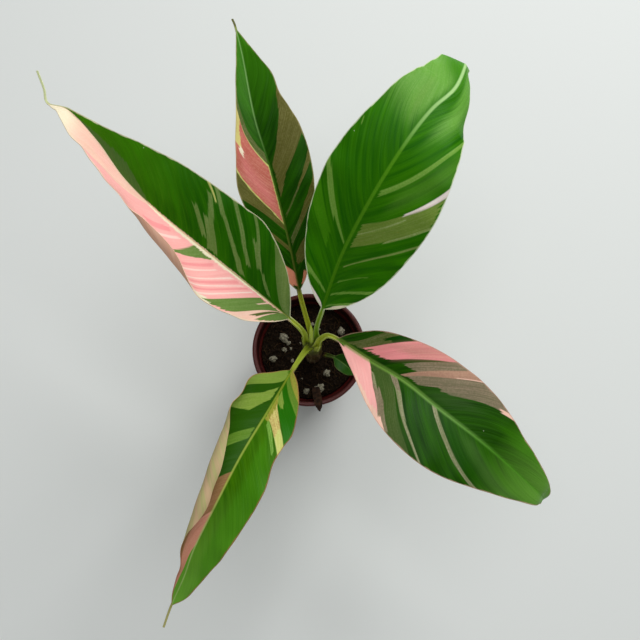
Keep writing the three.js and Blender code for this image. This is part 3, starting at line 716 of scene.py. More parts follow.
def blade_shell(leaf):
    """The stalk and blade of a leaf as one thin closed shell, and the path of its midrib."""
    shell, flat = shell_grid(LEAF_COLUMNS, LEAF_ROWS)
    path = smooth_path(leaf["midrib"])
    run = np.concatenate([[0], np.cumsum(np.linalg.norm(np.diff(path, axis=0), axis=1))])
    length = run[-1]
    blade_end = length - leaf["thread"]
    blade = blade_end - leaf["stalk"]

    # One row of values for each distance along the midrib
    stops = [0, STALK_ROWS, 1]
    marks = [0, leaf["stalk"], length]
    if leaf["thread"] > 0:
        stops.insert(2, 1 - THREAD_ROWS)
        marks.insert(2, blade_end)
    distance = np.interp(np.arange(LEAF_ROWS + 1) / LEAF_ROWS, stops, marks)
    at = (distance - leaf["stalk"]) / blade
    held = np.clip(at, 0, 1)
    centre, ahead, behind = [
        np.stack([np.interp(distance + step, run, path[:, k]) for k in range(3)], axis=1)
        for step in (0, TANGENT_STEP, -TANGENT_STEP)]
    forward = (ahead - behind) / np.linalg.norm(ahead - behind, axis=1)[:, None]
    left = np.cross([0, 0, 1], forward)
    left /= np.linalg.norm(left, axis=1)[:, None]
    up = np.cross(forward, left)
    tipwards = (distance / length)[:, None]
    rib = tapered(RIB_HALF_WIDTH, tipwards)
    foot_width = np.clip(STALK_HALF_WIDTH - STALK_TAPER * distance, RIB_HALF_WIDTH[1], 9)[:, None]
    foot_width = np.where(leaf["layer"] > 0, foot_width, SMALL_STALK_HALF_WIDTH)
    on_blade = np.clip(at / WAVE_FADE, 0, 1)[:, None] * np.clip((1 - at) / WAVE_FADE, 0, 1)[:, None]
    groove = np.clip(at / GROOVE_FADE + GROOVE_IN_STALK, GROOVE_IN_STALK, 1)[:, None]
    groove = tapered(GROOVE_DEPTH, tipwards) * groove

    # One column for each share of the way from the midrib to a margin
    half_columns = LEAF_COLUMNS // 2
    shares = (np.arange(half_columns + 1) / half_columns) ** COLUMN_CROWDING
    stations = np.array(leaf["stations"], float)
    halves = {}
    for side, sign, first in (("left", 1, 1), ("right", -1, 4)):
        width, slope, curl = [
            through(stations[:, 0] / 100, stations[:, first + k], held)[:, None] for k in range(3)]
        width = np.maximum(width, np.maximum(rib, foot_width))
        slope, curl = np.radians(slope), np.radians(curl)
        across, rise = [np.zeros_like(width)], [np.zeros_like(width)]
        for inner, outer in zip(shares, shares[1:]):
            step_across, step_rise = across[-1].copy(), rise[-1].copy()
            for k in range(FINE_STEPS):
                middle = inner + (outer - inner) * (k + 0.5) / FINE_STEPS
                turn = slope + curl * middle ** 2
                step_across += np.cos(turn) * width * (outer - inner) / FINE_STEPS
                step_rise += np.sin(turn) * width * (outer - inner) / FINE_STEPS
            across.append(step_across)
            rise.append(step_rise)
        across, rise = np.hstack(across), np.hstack(rise)
        turn = slope + curl * shares ** 2
        on_skin = centre[:, None] + sign * left[:, None] * across[..., None] + up[:, None] * rise[..., None]
        normal = up[:, None] * np.cos(turn)[..., None] - sign * left[:, None] * np.sin(turn)[..., None]
        normal[:, 0] = up
        reach = width * shares
        start = vein_start(at[:, None], shares[None, :], leaf["sweep"])
        drift = np.sin(2 * np.pi * distance / WAVE_LENGTHS[0] + leaf["wave"])
        drift += 0.6 * np.sin(2 * np.pi * distance / WAVE_LENGTHS[1] + 2.4 * leaf["wave"] + sign)
        wave = WAVE_HEIGHT * (drift[:, None] * shares ** 2.5 * on_blade)
        shoulder = SHOULDER_SHARE * np.exp(-((reach - rib) / SHOULDER_HALF_WIDTH) ** 2)
        relief = groove * (shoulder - np.exp(-(reach / GROOVE_HALF_WIDTH) ** 2))
        skin = SKIN_HALF_THICKNESS - MARGIN_THINNING * shares ** 4
        rib_share = np.clip(reach / (RIB_REACH * rib), 0, 1)
        rib_depth = tapered(RIB_DEPTH, tipwards) * (1 - rib_share ** 2)
        halves[side] = {
            "above": on_skin + normal * (skin + wave + relief)[..., None],
            "below": on_skin + normal * (wave - skin - rib_depth)[..., None],
            "along": at[:, None] * np.ones_like(reach), "vein": start, "vein_mm": start * blade,
            "reach_mm": reach, "margin_mm": width - reach, "out": sign * shares * np.ones_like(reach)}

    # The grid's points take their places, with the leaf's left half on the grid's left
    rows = np.rint((flat[:, 1] + 1) / 2 * LEAF_ROWS).astype(int)
    columns = np.rint(flat[:, 0] * half_columns).astype(int)
    upper = flat[:, 2] > 0.5
    places = np.empty((len(flat), 3))
    values = {name: np.zeros(len(flat)) for name in LEAF_ATTRIBUTES}
    for side, chosen in (("left", columns <= 0), ("right", columns > 0)):
        half = halves[side]
        row, column = rows[chosen], np.abs(columns[chosen])
        above, below = half["above"][row, column], half["below"][row, column]
        places[chosen] = np.where(upper[chosen, None], above, below)
        for name in LEAF_ATTRIBUTES[:-1]:
            values[name][chosen] = half[name][row, column]
    values["under"] = (~upper).astype(float)
    shell.data.vertices.foreach_set("co", (places * MM).ravel())
    shell.data.update()
    mark(shell.data, values)
    return shell, path


def sheath_shell(leaf, path):
    """The clasping base of a leaf: a thin sleeve, open in front and torn at its foot, that leaves the
    column and narrows into the stalk."""
    shell, flat = shell_grid(SHEATH_COLUMNS, SHEATH_ROWS)
    around, share = flat[:, 0], (flat[:, 1] + 1) / 2
    foot = SHEATH_FOOT_HEIGHT + SHEATH_SPACING * leaf["layer"]
    height = foot + (SHEATH_TOP_HEIGHT - foot) * share
    first = path[0, :2] - np.array(stem_axis(path[0, 2]))
    heading = math.atan2(first[1], first[0])
    rising = path[: np.argmax(path[:, 2])]
    leaving = (height - SHEATH_LEAVES_STEM) / (STALK_FOOT_HEIGHT - SHEATH_LEAVES_STEM)
    leaving = np.clip(leaving, 0, 1)
    leaving = leaving * leaving * (3 - 2 * leaving)
    stalk = np.stack([np.interp(height, rising[:, 2], rising[:, k]) for k in range(2)], axis=1)
    axis = np.array([stem_axis(h) for h in height])
    middle = axis + (stalk - axis) * leaving[:, None]
    radius = tapered(SHEATH_RADIUS, share) * (1 - leaving) + SHEATH_TOP_RADIUS * leaving
    radius += SHEATH_LAYER_GAP * leaf["layer"]
    wrap = np.radians(np.interp(share, *zip(*SHEATH_WRAP)))
    ragged = SHEATH_TOP_RAGGEDNESS * np.sin(5 * around + leaf["wave"]) * np.clip(share - 0.85, 0, 1) / 0.15
    torn = SHEATH_TEARS[0] * np.sin(5 * around - leaf["wave"])
    torn += SHEATH_TEARS[1] * np.sin(21 * around + 2 * leaf["wave"])
    ragged += torn * np.clip(1 - 4 * share, 0, 1)
    turn = heading + wrap * around
    thickness = SHEATH_THICKNESS * (1 - 0.8 * np.abs(around) ** 3) * (1 - 0.7 * share)
    radius = radius + thickness * flat[:, 2]
    places = np.stack([
        middle[:, 0] + radius * np.cos(turn), middle[:, 1] + radius * np.sin(turn), height + ragged], axis=1)
    shell.data.vertices.foreach_set("co", (places * MM).ravel())
    edit(shell)
    close_shape()
    before_blade = -0.2 - 0.3 * (1 - share)
    mark(shell.data, {
        "along": before_blade, "vein": before_blade, "vein_mm": 3 * around, "out": around,
        "reach_mm": 4 * np.abs(around) + 0.6, "margin_mm": 3 * (1 - np.abs(around)),
        "under": np.zeros(len(flat))})
    return shell


def inverse(share):
    """What is left of a share."""
    return maths("SUBTRACT", 1.0, share)


def soft_step(value, edge, softness):
    """0 below an edge and 1 above it, with a soft step between."""
    low, high = [
        add_node(value.id_data, "ShaderNodeMath", {0: edge, 1: softness}, operation=way).outputs[0]
        for way in ("SUBTRACT", "ADD")]
    return ranged(value, low, high, interpolation_type="SMOOTHSTEP")


# Group: one streak of another colour, which follows the side veins from its inner to its outer end
streak, given, result = new_group("leaf streak", {
    "Ground": COLOUR, "Streak": COLOUR, "Line": COLOUR, "Lines": NUMBER, "Vein": NUMBER, "Out": NUMBER,
    "Inner": NUMBER, "Outer": NUMBER, "Inner from": NUMBER, "Inner to": NUMBER, "Outer from": NUMBER,
    "Outer to": NUMBER, "Softness": NUMBER, "End softness": NUMBER, "Strength": NUMBER}, {"Color": COLOUR})
share = ranged(given["Out"], given["Inner"], given["Outer"])
edges = []
for end in ("from", "to"):
    edge = add_node(streak, "ShaderNodeMix", {0: share, 2: given["Inner " + end], 3: given["Outer " + end]})
    edges.append(edge.outputs[0])
inside = soft_step(given["Vein"], edges[0], given["Softness"])
beyond = soft_step(given["Vein"], edges[1], given["Softness"])
started = soft_step(given["Out"], given["Inner"], given["End softness"])
ended = soft_step(given["Out"], given["Outer"], given["End softness"])
masked = product(product(inside, inverse(beyond)), product(started, inverse(ended)))
masked = product(masked, given["Strength"])
lined = blended(given["Lines"], given["Streak"], given["Line"])
feed(result["Color"], blended(masked, given["Ground"], lined))

# Group: the fine parallel veins of a blade, as thin lines, broad bands and a height
VEIN_PITCH = 2.3
PLEAT_SHARE = 3.5
RIB_SHARE = 0.05
veins, given, result = new_group(
    "leaf veins", {"Vein mm": NUMBER, "Out": NUMBER, "Seed": NUMBER},
    {"Lines": NUMBER, "Bands": NUMBER, "Ragged": NUMBER, "Height": NUMBER})


def along_veins(fineness, stretch, detail):
    """Noise drawn out along the side veins."""
    vector = add_node(veins, "ShaderNodeCombineXYZ", {
        "X": product(given["Vein mm"], fineness), "Y": product(given["Out"], stretch), "Z": given["Seed"]})
    return mottle(vector.outputs[0], scale=1, detail=detail)


feed(result["Lines"], along_veins(2.6, 2.0, 3))
feed(result["Bands"], along_veins(0.3, 1.2, 2))
feed(result["Ragged"], along_veins(1.1, 3.0, 3))
ribbed = product(maths("SINE", product(given["Vein mm"], math.tau / VEIN_PITCH)), RIB_SHARE)
pleats = product(along_veins(0.24, 0.5, 1), PLEAT_SHARE)
feed(result["Height"], maths("ADD", pleats, maths("ADD", ribbed, along_veins(1.6, 1.5, 2))))

# The markings in the order they are laid, with how soft their sides and their ends are: sharp streaks first,
# then soft ones, which hold painted sheen, painted shade along the folds and soft washes of the leaf's own
# colours.
# One that starts at the midrib starts just past its middle.
MARKINGS = (
    ("left", "streaks", 0.003, 0.015), ("right", "streaks", 0.003, 0.015),
    ("left", "sheens", 0.045, 0.12), ("right", "sheens", 0.045, 0.12),
)
START_PAST_RIB = -0.02
FRAY = 0.22
WANDER = 0.012
GRAIN = 1300
SPECK_CELLS = 160
SPECK_SIZE = 0.035
SPECK_COLOUR = "#dfe6c8"
EDGE_WIDTH = (0.15, 0.55)
EDGE_SOFTNESS = 0.15
WING_WIDTH = 0.25
WING_COLOUR = "#e4e6c4"
RIPE_AND_SHADED_SHEATH_COLOUR = "#56601a"
DRY_AND_SHADED_SHEATH_COLOUR = "#3a2414"
DRY_THREAD_COLOUR = "#b09a6c"


def leaf_finish(name, leaf):
    """The living skin of a leaf: its ground, its streaks, its veins, midrib, margin and underside."""
    material, tree, surface = new_finish(name, roughness=0.4)
    surface.inputs["Specular IOR Level"].default_value = leaf["shine"]
    along, vein_at, vein_mm, out, reach_mm, margin_mm, under = [
        add_node(tree, "ShaderNodeAttribute", attribute_name=layer).outputs["Fac"]
        for layer in LEAF_ATTRIBUTES]
    lines, bands, ragged, ribs = add_node(tree, "ShaderNodeGroup", {
        "Vein mm": vein_mm, "Out": out, "Seed": leaf["wave"]}, node_tree=veins).outputs

    # The ragged ends of the streaks, and which half a point is on
    near_rib = maths("MULTIPLY", maths("ABSOLUTE", out), 6.0, clamp=True)
    fray = product(either_way(ragged, FRAY), near_rib)
    out_on = {"left": maths("ADD", out, fray), "right": maths("ADD", product(out, -1.0), fray)}
    vein = maths("ADD", vein_at, either_way(bands, WANDER))

    # The green ground, deep and bright by turns from vein to vein, and lighter towards the tip, where the
    # leaf's own tone holds painted sheen
    tip_tone_and_sheen, tip_from, tip_to = leaf["tip"]
    skin = blended(ranged(bands, 0.25, 0.75), shade(leaf["deep"]), shade(leaf["bright"]))
    skin = blended(ranged(along, tip_from, tip_to), skin, shade(tip_tone_and_sheen))
    skin = blended(ranged(lines, 0.56, 0.7, top=0.4), skin, shade(leaf["glint"]))
    where = place_on(tree)
    flecked = maths("ADD", product(lines, 0.65), product(mottle(where, GRAIN, detail=2), 0.35))
    pale = ranged(flecked, 0.45, 0.62)
    for side, kind, softness, end_softness in MARKINGS:
        for row in leaf.get(side + " " + kind, ()):
            inner, outer, inner_from, inner_to, outer_from, outer_to = [value / 100 for value in row[:6]]
            colour, line = LEAF_COLOURS[row[6]]
            skin = add_node(tree, "ShaderNodeGroup", {
                "Ground": skin, "Streak": shade(colour), "Line": shade(line),
                "Lines": product(pale, row[7] / 100), "Vein": vein, "Out": out_on[side],
                "Inner": inner if inner > 0 else START_PAST_RIB, "Outer": outer,
                "Inner from": inner_from, "Inner to": inner_to, "Outer from": outer_from,
                "Outer to": outer_to, "Softness": softness, "End softness": end_softness,
                "Strength": row[8] / 100 if kind == "sheens" else 1.0}, node_tree=streak).outputs["Color"]

    # A few tiny pale specks
    cells = add_node(tree, "ShaderNodeTexVoronoi", {"Vector": where, "Scale": SPECK_CELLS})
    small = maths("LESS_THAN", cells.outputs["Distance"], SPECK_SIZE)
    chosen = maths("LESS_THAN", cells.outputs["Color"], 0.3)
    skin = blended(product(product(small, chosen), 0.45), skin, shade(SPECK_COLOUR))

    # The midrib and the margin lie over the streaks
    # The midrib's band is its own paler colour with a painted highlight along its crest
    rib_base, rib_middle, rib_tip, rib_strength, rib_wide, rib_narrow, rib_softness = leaf["rib"]
    rib_colour_and_highlight = ramp(vein_at, ((0, rib_base), (0.5, rib_middle), (0.7, rib_tip)))
    on_rib = inverse(soft_step(reach_mm, ranged(vein_at, 0, 1, rib_wide, rib_narrow), rib_softness))
    skin = blended(product(on_rib, rib_strength), skin, rib_colour_and_highlight)
    edge_colour, edge_strength = leaf["edge"]
    on_edge = inverse(soft_step(margin_mm, ranged(bands, 0.3, 0.7, *EDGE_WIDTH), EDGE_SOFTNESS))
    skin = blended(product(on_edge, edge_strength), skin, shade(edge_colour))

    # The stalk with its pale wings, the sheath that ripens, dries and takes painted shade towards its foot,
    # and the tip's thread
    wing = inverse(soft_step(margin_mm, WING_WIDTH, EDGE_SOFTNESS))
    stalk = blended(product(lines, 0.5), shade(leaf["stem"][0]), shade(leaf["stem"][1]))
    stalk = blended(product(wing, leaf["wing"]), stalk, shade(WING_COLOUR))
    age = maths("ADD", along, either_way(ragged, 0.12))
    # Drying together with painted shade: the sheath turns olive, then dark brown, towards its foot
    stalk = blended(ranged(age, -0.2, -0.31), stalk, shade(RIPE_AND_SHADED_SHEATH_COLOUR))
    dry_and_shaded = blended(ranged(lines, 0.5, 0.68, top=0.5), shade(DRY_AND_SHADED_SHEATH_COLOUR), shade(DRY_THREAD_COLOUR))
    stalk = blended(ranged(age, -0.26, -0.44, top=0.9), stalk, dry_and_shaded)
    is_tail = soft_step(along, 1.0, 0.012)
    stalk = blended(is_tail, stalk, shade(leaf["tail"]))
    is_stalk = maths("MAXIMUM", inverse(soft_step(along, 0.0, 0.02)), is_tail)
    skin = blended(is_stalk, skin, stalk)

    # The underside of the blade, each half in its own colours
    below = product(under, inverse(is_stalk))
    on_left = soft_step(out, 0.0, 0.02)
    streaky = ranged(maths("ADD", product(bands, 0.6), product(ragged, 0.4)), 0.42, 0.6)
    for half, held in (("left", on_left), ("right", inverse(on_left))):
        colour, second, strength = leaf[half + " underside"]
        streaked = blended(streaky, shade(colour), shade(second))
        skin = blended(product(product(below, held), strength), skin, streaked)
    feed(surface.inputs["Base Color"], skin)

    # A waxy sheen, duller below and along the threads, over fine ribs
    dullness = ranged(lines, 0.3, 0.7, leaf["gloss"], leaf["gloss"] + 0.12)
    feed(surface.inputs["Roughness"], maths("ADD", dullness, product(under, 0.2)))
    emboss(surface, ribs, strength=0.3, depth=0.0003)
    return material


# Each leaf colour with the colour of the thin lines in it. Sheen green, shade green and shadow green stand
# for painted sheen and painted shade.
LEAF_COLOURS = {
    "pink": ("#ffb4ae", "#ffccc2"), "pink line": ("#ffd8cc", "#ffeade"), "deep pink": ("#f79c9c", "#f9b0aa"),
    "rose": ("#ff989c", "#ffb2a8"), "dusty rose": ("#b08670", "#c8a084"),
    "dusky pink": ("#c06658", "#dc9a84"), "peach": ("#fbcab4", "#fde2d0"), "cream": ("#f6ecca", "#fbf6e4"),
    "white": ("#f8f0e6", "#f6d0ce"), "yellow": ("#d8cc7c", "#b08648"), "pale yellow": ("#c8cc70", "#dce094"),
    "grey green": ("#66863e", "#8ea464"), "coral": ("#f09478", "#f8b09a"),
    "soft green": ("#6e9e38", "#8cb458"), "sage": ("#86a050", "#aebf80"),
    "light green": ("#6c9c38", "#94bc5c"), "pale green": ("#7e9c3a", "#a0b45c"),
    "mottled": ("#54642c", "#84805a"), "moss": ("#3c5620", "#5c6e3c"), "olive": ("#5e5c28", "#807c48"),
    "olive green": ("#5c8424", "#7c9a3c"), "grey brown": ("#7c7458", "#b49a84"),
    "deep green": ("#0e4200", "#1c5200"), "shadow green": ("#265400", "#346400"),
    "bright green": ("#3f8606", "#669c28"), "olive yellow": ("#9ea23c", "#8a6a34"),
    "meadow": ("#6f8c34", "#94a85c"), "clay": ("#926c42", "#a88058"), "salmon": ("#d08c74", "#dca48c"),
    "stone": ("#80845c", "#b0ac8c"), "brown stone": ("#7c745a", "#a89880"), "fern": ("#226a00", "#307c0c"),
    "shade green": ("#41622c", "#2c4c14"), "dusk green": ("#456c2c", "#58783c"),
    "sheen green": ("#7cb84c", "#9ccc6c"),
}

# The six leaves. Lengths are in millimetres and angles in degrees. The rows of stations, streaks and
# sheens give shares in hundredths, and all other shares are out of 1.
# midrib: points from the foot of the stalk to the tip. stalk, thread: the lengths of its two ends.
# sweep: how far forward the side veins run, at the base and how much further at the tip.
# wave: sets the leaf's own pattern. layer: how far out its sheath lies, 0 for a leaf with none.
# gloss: its roughness. shine: how strongly it mirrors the light.
# stations: how far along the blade, then for its left and for its right half the width, the slope at
# the midrib and how much that turns by the margin.
# tip: a lighter colour, the leaf's own tone with painted sheen in it, and where along the blade it starts
# and is full. deep, bright, glint: the ground.
# rib: colours at base, middle and tip, pale with a painted highlight along the crest, then strength, half
# widths at base and tip, softness.
# edge: colour and strength. stem: the stalk's two colours. wing: how pale the stalk's edges are.
# tail: the colour of the tip's thread. underside: two colours and their strength.
# streaks: how far out the inner and the outer end are, from 0 at the midrib to 100 at the margin, the
# first and the last side vein of the inner end, then of the outer end, the colour, and how strong its
# thin lines are. The soft rows after them are soft streaks, each with its own strength at the end: painted
# sheen, painted shade along the folds, and soft washes of the leaf's own colours.
LEAVES = {
    "leaf_upper_left": {
        "midrib": (
            (-0.9, -0.1, 81), (-2, 2.4, 95), (-6.5, 5.5, 107.5), (-25.5, 18.5, 127), (-48.4, 35, 141),
            (-60.1, 44.5, 144.5), (-70.8, 55.2, 147), (-81.4, 69.8, 147), (-93.2, 82.6, 147),
            (-102, 86, 146.5), (-103, 91, 149), (-104.5, 96.5, 153)),
        "stalk": 29.5, "thread": 13, "sweep": (0.17, 0.05), "wave": 0.4, "layer": 3, "gloss": 0.36,
        "shine": 0.06,
        "stations": (
            (0, 0, 35, 0, 0, 35, 0), (6, 6.5, 30, 0, 7, 32, 0), (15, 14, 25, 10, 16, 30, -5),
            (28, 21.2, 20, 46, 24, 28, -10), (36, 23.2, 17, 84, 23.8, 28, -12),
            (42, 22.6, 15, 132, 23.2, 28, -15), (50, 18.6, 17, 140, 22.2, 29, -15),
            (58, 13, 35, 70, 20.6, 30, -15), (70, 9.2, 46, 15, 15.2, 32, -10), (78, 9.5, 46, 5, 9, 34, -7),
            (86, 9.5, 48, 0, 4, 35, -5), (94, 6, 48, 0, 0.9, 40, 0), (100, 0, 40, 0, 0, 40, 0)),
        "tip": ("#3c7c00", 0.45, 0.9), "deep": "#165200", "bright": "#2e7000", "glint": "#447c0c",
        "rib": ("#98a448", "#f0dcb4", "#f8ecd0", 0.95, 0.42, 0.26, 0.22), "edge": ("#efe7c4", 0.7),
        "stem": ("#b4c636", "#c4d054"), "wing": 0.15, "tail": "#e4ecb4",
        "left underside": ("#f6ba98", "#fccaac", 0.97), "right underside": ("#86a062", "#73904c", 0.75),
        "left streaks": (
            (0, 200, -50, 150, -50, 150, "pink", 35), (8, 110, -10, 5, -40, 5.5, "peach", 40),
            (85, 110, 10, 28, 10, 28, "cream", 50), (6, 93, -10, 3, -30, -2.5, "grey green", 30),
            (25, 78, 1.2, 2.6, 0, 2.2, "mottled", 50), (12, 93, 2.6, 12.5, 5.8, 14, "grey green", 30),
            (10, 38, 8.8, 9.4, 8.4, 8.9, "peach", 60), (12, 90, 15, 15.8, 16.6, 17.7, "pink line", 50),
            (12, 85, 16.8, 18, 19, 20.2, "deep pink", 30), (12, 80, 18.8, 19.5, 21.2, 22.1, "pink line", 50),
            (12, 75, 20.6, 22.2, 22.8, 23.8, "deep pink", 30),
            (12, 70, 22.9, 23.7, 24.5, 25.3, "pink line", 50),
            (15, 62, 27.4, 28.2, 28.8, 29.6, "pink line", 50), (12, 50, 29.6, 31, 30.6, 32, "deep pink", 30),
            (5, 42, 32, 38.8, 36.2, 37, "grey green", 40), (12, 40, 41.8, 43, 42.4, 43.6, "pink line", 40),
            (12, 40, 45.2, 47.4, 45.6, 47.8, "deep pink", 30), (0, 6, 6, 70, 6, 70, "cream", 20),
            (0, 110, 56, 150, 60, 150, "peach", 30)),
        "right streaks": (
            (16, 100, -2, 3, -30, 6.6, "grey green", 30), (14, 42, 8.8, 10.8, 11.6, 13.4, "grey green", 40),
            (41, 68, 12.6, 15.4, 13.7, 17, "grey green", 50),
            (66, 110, 13.3, 14.9, 14.1, 15, "grey green", 40),
            (30, 50, 18, 20.5, 19.5, 21.6, "grey green", 50),
            (48, 110, 19.8, 21.6, 20.5, 21.9, "grey green", 50), (8, 36, 21, 23.8, 24, 26, "grey green", 40),
            (35, 70, 24, 26, 26.2, 27.8, "grey green", 40),
            (69, 110, 26.2, 27.8, 26.2, 27.6, "grey green", 40),
            (6, 50, 31.8, 35.2, 31.8, 34.6, "grey green", 40),
            (20, 54, 35.2, 37.2, 36.4, 38, "grey green", 40),
            (45, 86, 31.6, 33.6, 29.3, 30.8, "grey green", 40),
            (77, 110, 28.3, 28.9, 28.8, 29.6, "pale yellow", 50), (0, 34, 56, 95, 63, 80, "dusk green", 40)),
        "left sheens": (
            (10, 120, 88, 160, 60, 160, "cream", 30, 90), (12, 50, 66, 78, 60, 72, "pink", 30, 40)),
        "right sheens": (
            (15, 110, -6, 0, -5, 2, "sage", 50, 50), (30, 110, 43, 62, 44, 62, "bright green", 20, 35)),
    },
    "leaf_upper_middle": {
        "midrib": (
            (1.4, 1.9, 81), (0.8, 4.4, 91), (-3.5, 19, 102), (-7.5, 37.5, 113), (-14.5, 64.5, 127),
            (-21.5, 86.5, 133), (-27, 114, 133), (-30.5, 128.5, 131), (-32, 132.5, 131)),
        "stalk": 29.5, "thread": 4.5, "sweep": (0.13, 0.1), "wave": 1.9, "layer": 2, "gloss": 0.34,
        "shine": 0.06,
        "stations": (
            (0, 0, 35, 0, 0, 35, 0), (6, 5, 30, 0, 5, 30, 0), (15, 8.5, 25, -5, 8.5, 25, -5),
            (28, 12.8, 18, -10, 13.6, 20, -15), (42, 15.8, 15, -10, 17.3, 20, -20),
            (56, 11.5, 15, -10, 17.5, 20, -20), (64, 8.2, 17, -8, 15.4, 20, -18),
            (70, 6.6, 18, -5, 12.8, 20, -15), (78, 5, 19, -2, 11.2, 20, -10), (85, 3.6, 20, 0, 7.2, 20, -5),
            (92, 1.9, 20, 0, 3.5, 20, -3), (100, 0, 20, 0, 0, 20, 0)),
        "tip": ("#3a7c0c", 0.6, 1.0), "deep": "#0c3400", "bright": "#265c00", "glint": "#2e6410",
        "rib": ("#7c7c38", "#3c6c1c", "#88b468", 0.7, 0.6, 0.3, 0.28), "edge": ("#b8a878", 0.5),
        "stem": ("#9ca42a", "#b0b83c"), "wing": 0.0, "tail": "#6c6c40",
        "left underside": ("#8a7a58", "#9c7c5c", 0.6), "right underside": ("#7d8a52", "#6a7c40", 0.6),
        "left streaks": (
            (2, 62, 2.5, 7.5, -4, 4.5, "coral", 30), (62, 110, -4, 2, -12, -8, "coral", 30),
            (5, 63, 15.2, 17.4, 14.6, 16.8, "olive", 30), (5, 110, 23.6, 27, 23.8, 34.5, "olive", 50),
            (3, 110, 25.5, 47, 33.6, 53, "pale yellow", 40),
            (5, 110, 26.2, 46.2, 34.4, 52, "dusky pink", 50), (80, 110, 42, 51, 41, 52, "yellow", 20),
            (74, 86, 40.2, 42.5, 40.2, 42.5, "cream", 30), (4, 97, 47, 51.4, 51.2, 55.2, "mottled", 60)),
        "right streaks": (
            (70, 110, -5, 0, -11, -6, "coral", 30), (25, 86, 8, 12, 2, 10.5, "olive", 50),
            (14, 55, 16.4, 19.3, 16.8, 20.2, "mottled", 60), (53, 110, 16.8, 20.2, 20, 26.5, "olive", 40),
            (10, 60, 27.2, 28.2, 28.5, 29.4, "mottled", 60), (58, 110, 28.5, 29.5, 30.2, 33.4, "olive", 50),
            (8, 36, 34.8, 46.2, 38.2, 48.6, "olive", 50), (35, 110, 38.2, 48.6, 37.8, 56, "olive", 60)),
        "left sheens": (
            (15, 80, 30, 36, 35, 41, "rose", 30, 35), (12, 110, 56, 80, 58, 80, "bright green", 20, 30)),
    },
    "leaf_upper_right": {
        "midrib": (
            (4.1, 0.5, 81), (4.1, 4.2, 96), (7, 11, 110), (14.6, 29.2, 129), (25.4, 46.4, 149),
            (36.6, 62.3, 160), (46.6, 75.4, 161.8), (56.8, 86.4, 158), (62.8, 100, 150.6), (63.6, 105, 139),
            (63, 106.2, 127)),
        "stalk": 30, "thread": 0, "sweep": (0.16, 0.2), "wave": 3.1, "layer": 1, "gloss": 0.34,
        "shine": 0.06,
        "stations": (
            (0, 0, 30, 0, 0, 35, 0), (6, 7, 25, 0, 10.8, 30, 0), (15, 14, 18, -5, 20.3, 24, -5),
            (28, 20, 12, -12, 25, 14, -12), (42, 21.8, 8, -16, 26, 10, -14),
            (56, 18.8, 6, -18, 20.8, 6, -24), (66, 16.4, 7, -16, 15.4, -6, -32),
            (74, 14.9, 9, -13, 8, -18, -28), (82, 11.4, 10, -11, 4.2, -38, -26),
            (92, 6.7, 8, -3, 2.2, -44, -20), (100, 0, 0, 0, 0, -30, 0)),
        "tip": ("#4a9410", 0.66, 0.9), "deep": "#165c00", "bright": "#3a8000", "glint": "#408810",
        "rib": ("#508c10", "#5c9c1c", "#b8e094", 0.85, 0.85, 0.5, 0.35), "edge": ("#dfe8c0", 0.75),
        "stem": ("#84ac1c", "#98b838"), "wing": 0.25, "tail": "#a8c070",
        "left underside": ("#8fae62", "#7c9c4c", 0.65), "right underside": ("#8fae62", "#7c9c4c", 0.65),
        "left streaks": (
            (55, 110, -7, -5.5, -20, -8, "white", 20), (20, 97, 3.3, 3.9, -3.4, -1, "light green", 50),
            (45, 110, 11.8, 16.5, 11, 16, "bright green", 20),
            (7, 47, 21, 21.7, 19.9, 21.6, "soft green", 40), (45, 88, 19, 21.7, 19, 21.6, "soft green", 50),
            (86, 110, 19.2, 21, 19.4, 20.8, "soft green", 50),
            (86, 94, 31.1, 31.6, 31.3, 31.8, "light green", 30)),
        "right streaks": (
            (72, 110, -13, -7, -20, -7, "cream", 30), (35, 97, -3, -2.2, -9, -7.2, "light green", 40),
            (14, 98, 4, 4.5, -2.2, -0.6, "light green", 40), (15, 68, 8.6, 8.9, 6.6, 6.9, "light green", 20),
            (12, 110, 13.8, 14.2, 15, 15.7, "sage", 30), (9, 97, 20.8, 28.6, 19.6, 26.2, "meadow", 40),
            (9, 60, 25, 25.5, 25.5, 26.1, "sage", 70), (55, 110, 19.6, 20.4, 19.2, 20, "sage", 60),
            (56, 110, 27, 27.8, 26.2, 28.5, "white", 60), (7, 110, 37, 39.1, 38.4, 39.8, "soft green", 60)),
        # Painted sheen: the first two soft rows are a broad soft highlight and a whitish streak near the tip
        "left sheens": (
            (10, 110, 56, 72, 36, 56, "sheen green", 60, 60),
            (25, 60, 54.5, 58, 53, 56, "light green", 50, 60),
            (25, 110, 74, 90, 61, 80, "bright green", 20, 70)),
        # Painted sheen: pale soft streaks on the right half towards the tip
        "right sheens": (
            (30, 110, 32, 35, 31.5, 34.5, "light green", 30, 50),
            (30, 70, 50, 56, 47, 53, "sheen green", 70, 40),
            (40, 110, 50, 95, 45, 90, "sheen green", 40, 45)),
    },
    "leaf_lower_right": {
        "midrib": (
            (3.8, -2.9, 81), (6.3, -0.1, 91), (11.5, -0.5, 99), (25.4, -11.4, 111), (39.8, -21.5, 120),
            (52.1, -32.3, 125), (71.5, -47.5, 124), (91.8, -64.4, 115.5), (97.3, -68.6, 109),
            (98.9, -70.3, 103)),
        "stalk": 23, "thread": 0, "sweep": (0.18, 0.12), "wave": 4.6, "layer": 4, "gloss": 0.36,
        "shine": 0.08,
        "stations": (
            (0, 0, 30, 0, 0, 30, 0), (6, 6.4, 28, 0, 3.5, 28, 0), (15, 13.1, 25, -5, 9, 25, -10),
            (28, 16.8, 20, -10, 18.4, 20, -18), (42, 19.3, 16, -12, 22.5, 18, -22),
            (56, 18.2, 14, -12, 22, 16, -22), (70, 13.3, 12, -15, 16.2, 14, -20),
